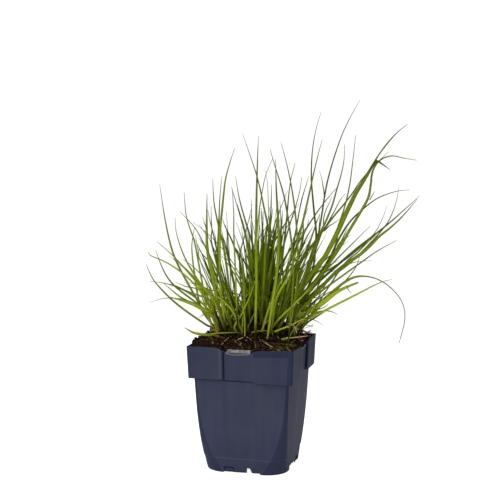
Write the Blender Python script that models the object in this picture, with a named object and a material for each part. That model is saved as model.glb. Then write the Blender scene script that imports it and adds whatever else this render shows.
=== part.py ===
"""Potted switchgrass: a square plastic nursery pot, its peat and a tuft of grass blades.

The origin is the middle of the pot's foot, +Z is up and the front of the pot faces -Y. Sizes are in
millimetres up to the point where a mesh is made, which is in metres.
"""
import math

import bmesh
import bpy
from mathutils import Vector
from mathutils.bvhtree import BVHTree

MM = 0.001
GAP = 0.3                   # between pieces that touch

# Pot
RIM_HALF = 55.4             # half the width across the rim, at the corner panels
RIM_HEIGHT = 130.4
COLLAR_FOOT_HALF = 54.0     # corner panels where the collar ends
PANEL_INSET = 2.5           # the middle of each side stands this far behind the corner panels
LEDGE_HEIGHTS = (97.5, 97.0, 95.8)      # lower edge of the blocks, middle panels and ramp panels
WALL = 1.2
DIP_START = -24.0
BLOCK_END = -17.0           # sharp end of a block, from the middle of a side
RAMP_START = 11.0           # soft rise to the ramp panel, likewise
RAMP_END = 17.0
BLOCK_STEP = 0.25           # half the thickness of the sharp step
CORNER_STEPS = 5
COLLAR_RADII = (3.0, 1.6)   # corners with ramp panels and corners with blocks

# Height of the rim along a side, from the block to the ramp panel, with the dip between them
RIM_LINE = ((DIP_START, 130.4), (-19.3, 128.8), (-16.5, 126.1), (-12.9, 124.8), (-6.6, 124.0), (2.6, 124.3),
            (9.8, 125.2), (14.4, 127.2), (17.0, 128.6), (52.0, 130.4))

# The body's half width at each height, with the crease near the foot
BODY = ((0.0, 43.0), (14.6, 43.9), (15.4, 44.4), (36.0, 46.0), (61.0, 47.6), (97.0, 49.5))
BODY_TOP = 97.0
INNER_BODY = BODY[2:]       # the crease shows only on the outside
CORNER_RADIUS_TOP = 3.0
CORNER_RADIUS_GROWTH = 19.5  # added at the foot

# Foot
FOOT_ARCH = 1.0             # the sides stand this far above the corner feet
NOTCH_HEIGHT = 5.2
NOTCH = (2.6, 4.4, 7.8, 9.5)
FLOOR_HEIGHT = 5.6
PAD_HALF = 12.0
PAD_RADIUS = 8.0
PAD_SLOPE = 3.0
DRAIN_RADIUS = 4.0
DRAIN_PLACE = 30.0
DRAIN_SIDES = 12
DRAIN_CUT = 4.8             # height of the cutter, well past both faces of the floor

COLLAR_COLUMNS = (DIP_START, BLOCK_END - BLOCK_STEP, BLOCK_END + BLOCK_STEP, -12.9, -6.6, 2.6, 7.0,
                  RAMP_START, 14.4, RAMP_END)
FOOT_COLUMNS = (-20.0, -16.0, -13.0, -10.5, -4.0) + NOTCH + (18.0,)

# Peat
PEAT_GAP = 0.7
PEAT_EDGE_EASE = 0.5        # more room at the top edge, where the collar narrows downwards
PEAT_STEPS = 18
PEAT_LEVEL = 126.2
HEAP_HEIGHT = 11.0          # the grass has lifted the peat into a broad heap behind the middle
HEAP_CENTRE = (-8.0, 20.0)
HEAP_REACH = (50.0, 36.0)
LEFT_SHARE = 0.8            # the heap keeps this share of its height all along the left side
LEFT_WIDTH = 45.0
LUMP_CENTRE = (33.0, 39.0)  # a lump of roots and peat stands up at the back right
LUMP_RISE = 23.0
LUMP_REACH = 6.5
BACK_EDGE = 11.0            # heap and lump slope down over this width along the back wall
RIPPLE_HEIGHT = 0.5
RIPPLE_LENGTHS = (17.0, 13.6)
RIPPLE_SLANTS = (0.4, -0.3)

# The grass is drawn as it is seen from EYE, in the upright plane through the pot's axis that faces EYE.
# Each blade then moves back or forward along the line of sight, on a sheet of its own, so that blades pass
# each other without touching. The sheets lean apart like a fan as they rise.
VIEW_TURN = math.radians(15.4)
EYE = Vector((-3.7, -1033.2, 312.9))    # across, back, up
SHEET_STEP = 1.0            # from one sheet to the next at the foot of the fan
FAN_BACK = 12.0             # the middle sheet stands this far behind the pot's axis
FAN_FOOT = 125.0
FAN_HEIGHT = 250.0
FAN_SPREAD = 1.4

BLADE_THICKNESS = 0.5
SHEATH_WIDTH = 2.4
SHEATH_THICKNESS = 0.7
SHEATH_HEIGHT = 18.0
TIP_WIDTH = 0.5
TIP_THICKNESS = 0.3
TAPER_START = 0.45          # share of a blade's length that keeps its full width
TAPER_POWER = 1.6
CURVE_STEPS = 8             # from one drawn point to the next
EXTRA_SECTIONS = 5          # on top of one section for each drawn point

# Blade: width, foot across, then points across and up, from the foot to the tip. The blades stand in this
# order from the back to the front, each on its own sheet.
BLADES = {
    "right_pale": (2.3, 42, ((56, 185), (74, 215), (85, 242), (92, 262), (98.3, 287), (102, 315),
                             (104.8, 343))),
    "middle_tall_1": (2.9, 22, ((24, 180), (21, 215), (16, 245), (11, 268), (5.2, 295), (-2.4, 319),
                                (-11.6, 345))),
    "right_faint": (2.2, 30, ((48, 175), (70, 198), (100, 218), (121, 237), (131, 252), (138, 270.5))),
    "low_right_3": (2.5, 37, ((50, 158), (66, 167), (84, 181), (98, 195), (107, 208), (110, 217.5))),
    "left_arc_1": (2.6, -40, ((-50, 146.5), (-80, 168), (-100.5, 188.5), (-107.5, 200), (-111.5, 209.5))),
    "right_dark": (2.6, 38, ((55, 180), (70, 201), (80, 218), (88, 235), (97, 250), (103, 257.5),
                             (110, 264), (118, 271), (130, 279), (147, 285), (161, 286.5))),
    "left_inner": (2.6, -33, ((-38, 170), (-38, 200), (-37, 235), (-36, 255), (-34.8, 280), (-32.5, 301))),
    "left_hook": (2.6, -38, ((-46, 150), (-54.5, 163), (-58.5, 180), (-61.5, 200), (-64, 228), (-61, 248))),
    "low_left_1": (3.0, -34, ((-41, 153), (-55, 163.5), (-76, 175), (-94, 190))),
    "left_tall": (2.9, -41, ((-52, 160), (-65, 183), (-82.3, 217), (-91, 252), (-97, 293))),
    "right_curve": (2.4, 41, ((52, 170), (76, 192), (102, 212), (118, 228), (132.4, 244), (141.8, 258),
                              (147.8, 276), (149.8, 289))),
    "low_left_3": (2.5, -30, ((-38, 164), (-50, 174), (-66, 180), (-82, 187.5), (-88, 189))),
    "left_arc_2": (2.6, -30, ((-45, 157), (-58.4, 168), (-83.4, 188), (-94.4, 205), (-101.4, 224))),
    "right_pair_1": (3.0, 36, ((47, 163), (62, 185), (84, 205.6), (109, 227.3), (138, 250.2),
                               (171.6, 280.4))),
    "middle_short_3": (2.2, -10, ((-12, 175), (-14.5, 205), (-14.3, 219), (-12.3, 229), (-9, 240.5),
                                  (-7, 249), (-5, 256), (-1.5, 272))),
    "right_pair_2": (4.4, 34, ((47, 161), (68, 183), (90, 205), (114, 222), (130, 238), (146, 251),
                               (160, 266), (169, 277))),
    "right_tallest": (3.0, 35, ((46, 172), (58, 205), (66, 235), (71, 264), (75, 290), (82, 317),
                                (93.3, 349), (108.6, 378))),
    "left_curve_2": (2.3, -41, ((-48, 160), (-53, 188), (-57.3, 212), (-61.8, 235), (-69.3, 258),
                                (-71.7, 284))),
    "kinked_arc": (3.8, 38, ((52, 172), (71, 200), (88, 225), (100, 246.5), (110, 263), (119.2, 281),
                             (121.3, 298), (124.2, 310.5), (132, 318.5), (141, 321.5), (150, 320),
                             (168, 317))),
    "right_tall_1": (2.8, 44, ((60, 195), (65, 235), (63.3, 258), (61.2, 280), (59.6, 305), (62, 338),
                               (69, 366))),
    "kinked_broad": (5.8, 31, ((45, 172), (58, 197), (72, 214), (84.3, 237), (94.5, 259.5), (107, 285.5),
                               (118.8, 303.8), (123, 313.5), (130, 324), (143, 341), (158, 354))),
    "left_upright_1": (2.9, -22, ((-24, 170), (-27, 200), (-31.3, 229), (-36.8, 252), (-41, 275),
                                  (-42, 298))),
    "right_straight": (2.3, 30, ((42, 165), (58, 185), (72.3, 200), (87.5, 216), (103.5, 232),
                                 (120.5, 249))),
    "low_left_2": (4.4, -34, ((-44, 156), (-53, 162), (-62, 167), (-73, 171), (-90, 176))),
    "right_tall_3": (2.9, 32, ((50, 190), (62, 222), (71.2, 247), (79, 263), (86, 287), (92.5, 312),
                               (93.5, 333))),
    "low_right_2": (2.6, 43, ((54, 152), (68, 159.5), (79, 160.5), (87.5, 157))),
    "drooping": (4.2, 41, ((55, 158), (70, 170), (86, 184), (97, 192), (110, 197), (127, 194.5),
                           (141.4, 186), (153.6, 172), (158, 157), (156.3, 143), (152.3, 127))),
    "broken": (5.2, 36, ((44, 153), (54, 158), (69, 167), (86, 180), (97, 185.5), (109, 190.5))),
    "low_right_1": (3.2, 43, ((46, 145), (60, 153), (82, 164.5), (110, 179), (130, 189.5), (144, 193.5))),
    "left_broad": (4.2, -32, ((-37, 170), (-43, 198), (-48, 225), (-48.5, 255), (-48, 283))),
    "right_low_1": (2.5, 30, ((50, 163), (69, 180), (92, 197), (114, 213), (129, 223.6), (148.2, 234.2))),
    "middle_cross_1": (2.9, 8, ((6, 175), (3, 205), (-0.6, 229), (-4.2, 240), (-7.6, 251), (-14.7, 277),
                                (-18.7, 301))),
    "kinked_thin": (2.5, 26, ((36, 190), (50, 215), (62, 231), (71, 243), (80, 255.5), (92, 270),
                              (100, 280), (112, 298), (124, 311), (139, 326))),
    "left_pale": (2.4, -24, ((-33, 160), (-45, 176), (-60, 192), (-81, 216), (-100, 233))),
    "right_tall_2": (2.9, 28, ((37, 190), (44, 225), (51.3, 255), (57.5, 283), (64.5, 315), (70.5, 338))),
    "middle_short_2": (3.4, 15, ((14, 165), (13, 195), (15.4, 225), (17.7, 262), (18.6, 292))),
    "left_upright_2": (3.2, -28, ((-33, 170), (-35, 205), (-35, 240), (-32, 270), (-28.4, 300),
                                  (-19.5, 329))),
    "middle_thin_5": (2.2, 14, ((20, 180), (31.5, 230), (41.3, 263), (46, 278), (48, 288), (49.8, 300))),
    "left_curve_1": (2.5, -28, ((-41, 171), (-55.5, 190), (-70, 214), (-79.3, 240), (-81, 258))),
    "middle_thin_4": (2.4, 20, ((27, 190), (32, 235), (35, 265), (37.5, 292), (42.7, 314))),
    "right_folded": (2.6, 23, ((33, 195), (45, 228), (54, 245), (64, 261), (75, 276), (87, 290))),
    "middle_cross_3": (2.7, 36, ((44, 180), (46, 220), (44, 255), (40, 285), (35, 310), (28, 336))),
    "left_cross": (2.5, -16, ((-21, 160), (-30, 185), (-40, 207), (-50, 228), (-61, 248), (-76, 264))),
    "middle_thin_1": (2.3, -4, ((-4, 175), (-4, 205), (-7, 232), (-12.6, 255), (-23, 290))),
    "middle_short_1": (3.4, -8, ((-9, 160), (-10, 190), (-11, 208), (-14.4, 225), (-20, 241))),
    "middle_cross_2": (2.9, 36, ((41, 190), (40, 225), (36, 255), (31, 282), (23, 308), (17, 328))),
    "low_over_rim": (2.2, -36, ((-42, 134.8), (-50, 135.4), (-62, 137.4), (-72, 143))),
    "middle_front": (3.8, 2, ((2, 160), (3, 200), (2.6, 250), (3.5, 300), (5, 342))),
    "middle_thin_2": (2.2, -16, ((-18, 175), (-19, 205), (-20.5, 240), (-20.5, 262), (-22, 288))),
    "middle_upright": (4.6, 14, ((19, 165), (24, 200), (26, 235), (25, 260), (23.5, 285), (22.5, 318))),
    "middle_thin_3": (2.2, 2, ((3, 175), (3, 225), (5, 255), (8, 278), (13, 303), (19.5, 318))),
}


def remove_everything():
    for obj in list(bpy.data.objects):
        bpy.data.objects.remove(obj, do_unlink=True)


def new_collection(name):
    collection = bpy.data.collections.new(name)
    bpy.context.scene.collection.children.link(collection)
    return collection


def new_material(name, colour, roughness):
    """A plain finish in linear colour."""
    material = bpy.data.materials.new(name)
    material.use_nodes = True
    shader = material.node_tree.nodes["Principled BSDF"]
    shader.inputs["Base Color"].default_value = (*colour, 1.0)
    shader.inputs["Roughness"].default_value = roughness
    shader.inputs["Metallic"].default_value = 0.0
    return material


def new_object(name, mesh, material, collection):
    obj = bpy.data.objects.new(name, mesh)
    obj.data.materials.append(material)
    collection.objects.link(obj)
    return obj


def lofted_mesh(name, rings):
    """Skin a list of closed rings, each with as many points, and close both ends."""
    mesh = bmesh.new()
    rows = [[mesh.verts.new(Vector(point) * MM) for point in ring] for ring in rings]
    count = len(rows[0])
    for low, high in zip(rows, rows[1:]):
        for i in range(count):
            j = (i + 1) % count
            mesh.faces.new((low[i], low[j], high[j], high[i]))
    mesh.faces.new(reversed(rows[0]))
    mesh.faces.new(rows[-1])
    bmesh.ops.recalc_face_normals(mesh, faces=mesh.faces)
    data = bpy.data.meshes.new(name)
    mesh.to_mesh(data)
    mesh.free()
    return data


def between(table, value):
    """Read a table of (place, value) pairs, straight between its rows."""
    for (low, start), (high, end) in zip(table, table[1:]):
        if value <= high:
            return start + (end - start) * (value - low) / (high - low)
    return table[-1][1]


def body_half(height):
    return between(BODY, height)


def corner_radius(height):
    """The corners are nearly sharp under the collar and swell towards the feet."""
    return CORNER_RADIUS_TOP + CORNER_RADIUS_GROWTH * (1.0 - min(height / BODY_TOP, 1.0)) ** 3


def side_ring(columns, place, half_corner, radii, corner_heights):
    """One ring round the pot. place(s) gives half width and height at s, s growing towards a ramp panel.

    The pot is symmetric about the upright plane through its front right and back left corners, so every
    second side runs the other way round, and corners with ramp panels take turns with corners with blocks.
    """
    ring = []
    for turn in range(4):
        way = 1 if turn % 2 == 0 else -1
        points = []
        for s in columns[::way]:
            half, height = place(s)
            points.append((way * s, -half, height))
        radius = radii[turn % 2]
        centre = half_corner - radius
        for step in range(CORNER_STEPS + 1):
            angle = math.pi / 2 * step / CORNER_STEPS
            x = centre + radius * math.sin(angle)
            y = -centre - radius * math.cos(angle)
            points.append((x, y, corner_heights[turn % 2]))
        quarter = math.pi / 2 * turn
        for x, y, z in points:
            ring.append((x * math.cos(quarter) - y * math.sin(quarter),
                         x * math.sin(quarter) + y * math.cos(quarter), z))
    return ring


def body_ring(height, inset):
    """A ring on the straight body, which carries the columns from the foot up to the collar."""
    share = min(height / BODY_TOP, 1.0)
    columns = [foot + (top - foot) * share for foot, top in zip(FOOT_COLUMNS, COLLAR_COLUMNS)]
    half = body_half(height) - inset
    radius = corner_radius(height) - inset
    return side_ring(columns, lambda s: (half, height), half, (radius, radius), (height, height))


def on_corner_panel(s):
    return s < BLOCK_END or s >= RAMP_END


def ledge_height(s):
    block, middle, ramp = LEDGE_HEIGHTS
    if s < BLOCK_END:
        return block
    return ramp if s >= RAMP_END else middle


def rim_height(s):
    return between(RIM_LINE, s)


def collar_ring(corner_half, inset, height_at, corner_heights):
    """A ring on the collar, whose middle panels stand behind its corner panels."""
    def place(s):
        half = corner_half if on_corner_panel(s) else corner_half - PANEL_INSET
        return half - inset, height_at(s)
    radii = [radius - inset for radius in COLLAR_RADII]
    return side_ring(COLLAR_COLUMNS, place, corner_half - inset, radii, corner_heights)


def foot_height(s):
    """Lower edge of a side: a low arch between the corner feet, with a drain notch."""
    if NOTCH[1] <= s <= NOTCH[2]:
        return NOTCH_HEIGHT
    return FOOT_ARCH


def pad_ring(half, height):
    """A ring of the raised pad in the middle of the floor, which stands on the ground."""
    shrink = (half - PAD_RADIUS) / abs(FOOT_COLUMNS[0])
    columns = [s * shrink for s in FOOT_COLUMNS]
    radii = (PAD_RADIUS, PAD_RADIUS)
    return side_ring(columns, lambda s: (half, height), half, radii, (height, height))


def ledge_rings():
    """The step from the body out to the collar's lower edge."""
    block, _, ramp = LEDGE_HEIGHTS
    corner_heights = (ramp, block)
    half = body_half(BODY_TOP)
    radii = (CORNER_RADIUS_TOP, CORNER_RADIUS_TOP)
    on_body = side_ring(COLLAR_COLUMNS, lambda s: (half, ledge_height(s)), half, radii, corner_heights)
    return [on_body, collar_ring(COLLAR_FOOT_HALF, 0.0, ledge_height, corner_heights)]


def inner_ledge_rings():
    """The same step on the inside, one wall thickness higher."""
    block, _, ramp = LEDGE_HEIGHTS
    corner_heights = (ramp + WALL, block + WALL)
    half = body_half(BODY_TOP) - WALL
    radii = (CORNER_RADIUS_TOP - WALL, CORNER_RADIUS_TOP - WALL)
    on_body = side_ring(COLLAR_COLUMNS, lambda s: (half, ledge_height(s) + WALL), half, radii, corner_heights)
    on_collar = collar_ring(COLLAR_FOOT_HALF, WALL, lambda s: ledge_height(s) + WALL, corner_heights)
    return [on_collar, on_body]


def pot_rings():
    """From the pad under the floor, out and up the outside, over the rim and down the inside."""
    rim_corners = (RIM_HEIGHT, RIM_HEIGHT)
    half = body_half(0.0)
    radius = corner_radius(0.0)
    rings = [pad_ring(PAD_HALF, 0.0), pad_ring(PAD_HALF + PAD_SLOPE, FLOOR_HEIGHT)]
    rings.append(body_ring(FLOOR_HEIGHT, WALL))
    for inset in (WALL, 0.0):
        radii = (radius - inset, radius - inset)
        rings.append(side_ring(FOOT_COLUMNS, lambda s, inset=inset: (half - inset, foot_height(s)),
                               half - inset, radii, (0.0, 0.0)))
    rings += [body_ring(height, 0.0) for height, _ in BODY[1:-1]]
    rings += ledge_rings()
    rings.append(collar_ring(RIM_HALF, 0.0, rim_height, rim_corners))
    rings.append(collar_ring(RIM_HALF, WALL, rim_height, rim_corners))
    rings += inner_ledge_rings()
    rings += [body_ring(height, WALL) for height, _ in reversed(INNER_BODY[:-1])]
    floor_top = FLOOR_HEIGHT + WALL
    rings += [body_ring(floor_top, WALL), pad_ring(PAD_HALF + PAD_SLOPE, floor_top), pad_ring(PAD_HALF, WALL)]
    return rings


def make_drain_cutters(collection):
    """One round drain hole in the floor near the middle of each side."""
    cutters = []
    for turn in range(4):
        angle = math.pi / 2 * turn
        place = Vector((math.cos(angle), math.sin(angle), 0.0)) * DRAIN_PLACE
        place.z = FLOOR_HEIGHT + WALL / 2
        bpy.ops.mesh.primitive_cylinder_add(vertices=DRAIN_SIDES, radius=DRAIN_RADIUS * MM,
                                            depth=DRAIN_CUT * MM, location=place * MM)
        cutter = bpy.context.object
        cutter.name = f"drain_cutter_{turn + 1}"
        for owner in list(cutter.users_collection):
            owner.objects.unlink(cutter)
        collection.objects.link(cutter)
        cutter.hide_render = True
        cutter.display_type = "WIRE"
        cutters.append(cutter)
    return cutters


def make_pot(collection, cutter_collection):
    material = new_material("slate_plastic", (0.048, 0.054, 0.084), 0.42)
    pot = new_object("pot", lofted_mesh("pot", pot_rings()), material, collection)
    for cutter in make_drain_cutters(cutter_collection):
        cut = pot.modifiers.new(cutter.name, "BOOLEAN")
        cut.operation = "DIFFERENCE"
        cut.object = cutter
    return pot


def ease(value):
    """Rise smoothly from 0 to 1."""
    value = min(max(value, 0.0), 1.0)
    return value * value * (3.0 - 2.0 * value)


def bell(x, y, centre, reach):
    """A smooth hill of height 1."""
    return math.exp(-((x - centre[0]) / reach[0]) ** 2 - ((y - centre[1]) / reach[1]) ** 2)


def peat_height(x, y):
    """The top of the peat: a heap that runs out to the left wall, a lump of roots, and ripples."""
    to_back = ease((RIM_HALF - PANEL_INSET - WALL - y) / BACK_EDGE)
    heap = bell(x, y, HEAP_CENTRE, HEAP_REACH) * to_back
    left = LEFT_SHARE * ease(-x / LEFT_WIDTH)
    lump = LUMP_RISE * bell(x, y, LUMP_CENTRE, (LUMP_REACH, LUMP_REACH)) * to_back
    ripples = (math.sin(math.tau * (x + RIPPLE_SLANTS[0] * y) / RIPPLE_LENGTHS[0])
               + math.cos(math.tau * (y + RIPPLE_SLANTS[1] * x) / RIPPLE_LENGTHS[1]))
    heaped = HEAP_HEIGHT * (1.0 - (1.0 - heap) * (1.0 - left))
    return PEAT_LEVEL + heaped + lump + RIPPLE_HEIGHT * ripples


def round_corner(x, y, half, radius):
    """Pull a point on a square's outline in to the arc at its corner."""
    centre = half - radius
    if abs(x) <= centre or abs(y) <= centre:
        return x, y
    offset = Vector((abs(x) - centre, abs(y) - centre)).normalized() * radius
    return math.copysign(centre + offset.x, x), math.copysign(centre + offset.y, y)


def peat_levels():
    """Height, half width and corner radius of the peat at each level under its top."""
    inset = WALL + PEAT_GAP
    floor = FLOOR_HEIGHT + WALL + GAP
    levels = [(floor, body_half(floor) - inset, corner_radius(floor) - inset)]
    levels += [(height, half - inset, corner_radius(height) - inset) for height, half in INNER_BODY]
    collar_low = LEDGE_HEIGHTS[0] + WALL + GAP
    return levels + [(collar_low, body_half(BODY_TOP) - inset, CORNER_RADIUS_TOP - WALL)]


def make_peat(collection):
    """A block that fills the pot, with a gridded top and sides that follow the pot's inside."""
    half = RIM_HALF - PANEL_INSET - WALL - PEAT_GAP - PEAT_EDGE_EASE
    mesh = bmesh.new()
    steps = range(PEAT_STEPS + 1)
    place = [half * (2.0 * i / PEAT_STEPS - 1.0) for i in steps]
    grid = {}
    for i in steps:
        for j in steps:
            x, y = round_corner(place[i], place[j], half, COLLAR_RADII[0])
            grid[i, j] = mesh.verts.new(Vector((x, y, peat_height(x, y))) * MM)
    for i in steps[:-1]:
        for j in steps[:-1]:
            mesh.faces.new((grid[i, j], grid[i + 1, j], grid[i + 1, j + 1], grid[i, j + 1]))
    last = PEAT_STEPS
    edge = [(i, 0) for i in range(last)] + [(last, j) for j in range(last)]
    edge += [(i, last) for i in range(last, 0, -1)] + [(0, j) for j in range(last, 0, -1)]
    upper = [grid[key] for key in edge]
    for height, level_half, radius in reversed(peat_levels()):
        lower = []
        shrink = level_half / half
        for i, j in edge:
            x, y = round_corner(place[i] * shrink, place[j] * shrink, level_half, radius)
            lower.append(mesh.verts.new(Vector((x, y, height)) * MM))
        for k in range(len(edge)):
            n = (k + 1) % len(edge)
            mesh.faces.new((lower[k], lower[n], upper[n], upper[k]))
        upper = lower
    mesh.faces.new(reversed(upper))
    bmesh.ops.recalc_face_normals(mesh, faces=mesh.faces)
    data = bpy.data.meshes.new("peat")
    mesh.to_mesh(data)
    mesh.free()
    return new_object("peat", data, new_material("peat", (0.035, 0.021, 0.013), 0.95), collection)


def from_view(across, back, up):
    """Turn a point of the view's frame into the pot's frame."""
    cos_turn, sin_turn = math.cos(VIEW_TURN), math.sin(VIEW_TURN)
    return Vector((across * cos_turn - back * sin_turn, across * sin_turn + back * cos_turn, up))


def on_sheet(sheet, across, up):
    """Move a point of the drawing along the line of sight to its sheet, which leans out as it rises."""
    rise = max(up - FAN_FOOT, 0.0) / FAN_HEIGHT
    back = FAN_BACK + sheet * (1.0 + FAN_SPREAD * rise * (1.0 + rise))
    drawn = Vector((across, 0.0, up))
    point = EYE + (drawn - EYE) * (back - EYE.y) / -EYE.y
    return from_view(*point)


def peat_surface(peat):
    return BVHTree.FromObject(peat, bpy.context.evaluated_depsgraph_get())


def standing_point(surface, point):
    """The place on the peat under a blade's foot, with a gap below the whole foot."""
    reach = SHEATH_WIDTH / 2
    down = Vector((0.0, 0.0, -1.0))
    top = 0.0
    for x, y in ((0.0, 0.0), (reach, 0.0), (-reach, 0.0), (0.0, reach), (0.0, -reach)):
        above = Vector((point.x + x, point.y + y, 2 * RIM_HEIGHT)) * MM
        top = max(top, surface.ray_cast(above, down)[0].z / MM)
    return Vector((point.x, point.y, top + GAP))


def smooth_curve(points, count):
    """Evenly spaced points on a smooth curve through the given ones."""
    padded = [points[0] * 2 - points[1]] + points + [points[-1] * 2 - points[-2]]
    fine = []
    for a, b, c, d in zip(padded, padded[1:], padded[2:], padded[3:]):
        for step in range(CURVE_STEPS):
            t = step / CURVE_STEPS
            fine.append(0.5 * (2 * b + (c - a) * t + (2 * a - 5 * b + 4 * c - d) * t * t
                               + (3 * b - a - 3 * c + d) * t ** 3))
    fine.append(points[-1])
    lengths = [0.0]
    for start, end in zip(fine, fine[1:]):
        lengths.append(lengths[-1] + (end - start).length)
    result = []
    for i in range(count + 1):
        wanted = lengths[-1] * i / count
        k = next(n for n, length in enumerate(lengths) if length >= wanted - 1e-9)
        if k == 0:
            result.append(fine[0])
            continue
        share = (wanted - lengths[k - 1]) / (lengths[k] - lengths[k - 1])
        result.append(fine[k - 1].lerp(fine[k], share))
    return result


def blade_size(width, share, climb):
    """Width and thickness of a blade at a share of its length, climb millimetres along from the foot."""
    sheath = max(0.0, 1.0 - climb / SHEATH_HEIGHT)
    past = max(0.0, share - TAPER_START) / (1.0 - TAPER_START)
    taper = 1.0 - min(past, 1.0) ** TAPER_POWER
    wide = TIP_WIDTH + (width - TIP_WIDTH) * taper
    thick = TIP_THICKNESS + (BLADE_THICKNESS - TIP_THICKNESS) * taper
    wide += (min(SHEATH_WIDTH, width) - wide) * sheath
    thick += (SHEATH_THICKNESS - thick) * sheath
    return wide, thick


def blade_rings(curve, width):
    """Flat four-cornered sections along a blade, with the flat side to the front."""
    depth_way = from_view(0.0, 1.0, 0.0)
    rings = []
    climb = 0.0
    for i, point in enumerate(curve):
        if i:
            climb += (point - curve[i - 1]).length
        ahead = curve[min(i + 1, len(curve) - 1)] - curve[max(i - 1, 0)]
        if i == 0:
            ahead = Vector((0.0, 0.0, 1.0))
        across = ahead.cross(depth_way).normalized()
        through = across.cross(ahead).normalized()
        wide, thick = blade_size(width, i / (len(curve) - 1), climb)
        rings.append([point + across * wide / 2, point + through * thick / 2,
                      point - across * wide / 2, point - through * thick / 2])
    return rings


def make_blade(blade, sheet, surface, collection):
    width, foot, drawn = BLADES[blade]
    name = f"blade_{blade}"
    points = [standing_point(surface, from_view(foot, FAN_BACK + sheet, 0.0))]
    points += [on_sheet(sheet, across, up) for across, up in drawn]
    curve = smooth_curve(points, len(points) + EXTRA_SECTIONS)
    material = new_material(name, (0.10, 0.17, 0.018), 0.45)
    return new_object(name, lofted_mesh(name, blade_rings(curve, width)), material, collection)


def main():
    remove_everything()
    parts = new_collection("potted_switchgrass")
    cutters = new_collection("cutters")
    make_pot(parts, cutters)
    peat = make_peat(parts)
    bpy.context.view_layer.update()
    surface = peat_surface(peat)
    middle = (len(BLADES) - 1) / 2
    for i, blade in enumerate(BLADES):
        make_blade(blade, (middle - i) * SHEET_STEP, surface, parts)


main()
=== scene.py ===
"""Looks of the potted switchgrass: pot, peat, grass and litter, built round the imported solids."""
import math
import random

import bpy
import numpy as np
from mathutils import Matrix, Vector
from mathutils.bvhtree import BVHTree


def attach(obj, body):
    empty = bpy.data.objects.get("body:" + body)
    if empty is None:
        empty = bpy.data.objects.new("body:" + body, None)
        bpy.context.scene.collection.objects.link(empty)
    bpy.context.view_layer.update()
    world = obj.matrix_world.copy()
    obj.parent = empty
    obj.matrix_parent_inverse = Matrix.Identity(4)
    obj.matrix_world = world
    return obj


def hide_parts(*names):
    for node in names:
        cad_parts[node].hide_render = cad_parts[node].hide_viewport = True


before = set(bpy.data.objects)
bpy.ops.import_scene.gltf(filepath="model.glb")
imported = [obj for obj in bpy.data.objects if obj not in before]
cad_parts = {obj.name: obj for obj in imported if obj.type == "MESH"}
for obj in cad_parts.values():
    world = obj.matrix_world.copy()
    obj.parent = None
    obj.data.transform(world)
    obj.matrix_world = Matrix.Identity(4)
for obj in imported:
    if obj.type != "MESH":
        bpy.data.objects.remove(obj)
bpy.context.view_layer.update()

MM = 0.001

# The camera, in millimetres, looks at TARGET from EYE
VIEW_TURN = math.radians(15.4)
VIEW_PITCH = math.radians(4.9)
EYE_DISTANCE = 1038.0
TARGET = Vector((-3.8, 0.0, 224.2))
LENS = 72.0
ACROSS = Vector((math.cos(VIEW_TURN), math.sin(VIEW_TURN), 0.0))
AWAY = Vector((-math.sin(VIEW_TURN), math.cos(VIEW_TURN), 0.0))
SIGHT = (AWAY * math.cos(VIEW_PITCH) - Vector((0, 0, math.sin(VIEW_PITCH)))).normalized()
EYE = TARGET - SIGHT * EYE_DISTANCE

# Pot, in millimetres, as in its solid
RIM_HALF = 55.4
RIM_HEIGHT = 130.4
COLLAR_FOOT_HALF = 54.0
PANEL_INSET = 2.5
LEDGE_BLOCK, LEDGE_MIDDLE, LEDGE_RAMP = 97.5, 97.0, 95.8
WALL = 1.2
BLOCK_END = -17.0
RAMP_START, RAMP_END = 11.0, 17.0
COLLAR_RADII = (3.0, 1.6)
RIM_LINE = ((-24.0, 130.4), (-19.3, 128.8), (-16.5, 126.1), (-12.9, 124.8), (-6.6, 124.0), (2.6, 124.3),
            (9.8, 125.2), (14.4, 127.2), (17.0, 128.6), (52.0, 130.4))
BODY = ((0.0, 43.0), (14.6, 43.9), (15.4, 44.4), (36.0, 46.0), (61.0, 47.6), (97.0, 49.5))
BODY_TOP = 97.0
CORNER_RADIUS_TOP = 3.0
CORNER_RADIUS_GROWTH = 19.5
ARCHES = ((-20.0, 0.6, 18.6, 1.4), (-9.0, 2.4, 17.8, 4.2))  # front and back, then left and right
NOTCH_HEIGHT = 6.0
NOTCH = (4.4, 4.8, 7.8, 10.6)
FLOOR_HEIGHT = 5.6
PAD_HALF, PAD_RADIUS, PAD_SLOPE = 12.0, 8.0, 3.0
DRAIN_RADIUS, DRAIN_PLACE = 4.0, 30.0

# Details of the pot that its solid leaves out
CORNER_STEPS = 12
EDGE_EASE = 0.45                    # rounding of the collar's edges
BLOCK_TURN = -21.4                  # from here to its end a block's edge is round
BLOCK_CORNER = 3.0                  # rounding of a block's lower corner
GROOVE_PLACE, GROOVE_REACH, GROOVE_DEPTH = -16.5, 0.45, 0.35
DENT, DENT_DEPTH = (115.5, 125.5), 0.15     # shallow band across a ramp panel
RECESS = (-19.6, -9.2, 5.8, 1.0)    # pocket in the skirt: from, to, top and depth
POCKET_MARGIN = 0.7                 # its sides, painted dark as shade, are this wide, inwards and outwards
FOOT_LEVELS = (0.6, 1.2, 2.0, 2.8, 3.4, 4.0, 4.9, 5.7, 5.9)
EDGE_REACH = 0.5                    # the lower edge is painted dark, as shade, for this much above it
SKIRT_LEVELS = (6.3, 7.0, 9.5, 12.0, 14.2, 14.6, 15.0, 15.6, 16.2)
BODY_ROWS, BODY_ROW_HEIGHTS = 32, (17.0, 94.0)
COLLAR_ROWS = 26
RIM_STEPS = 10
INNER_COLLAR, INNER_BODY = (0.75, 0.5, 0.2), (95.0, 40.0)   # rings inside, by share and by height
TOP_BAND = 0.79                     # from this share of its height up a collar is painted darker
LINTEL = 4.5                        # the band of faces over the pocket begins above this
CREASE_LEVELS = (14.6, 15.0)
LIP = (-15.0, 10.5)                 # part of the rim with a painted highlight
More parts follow.
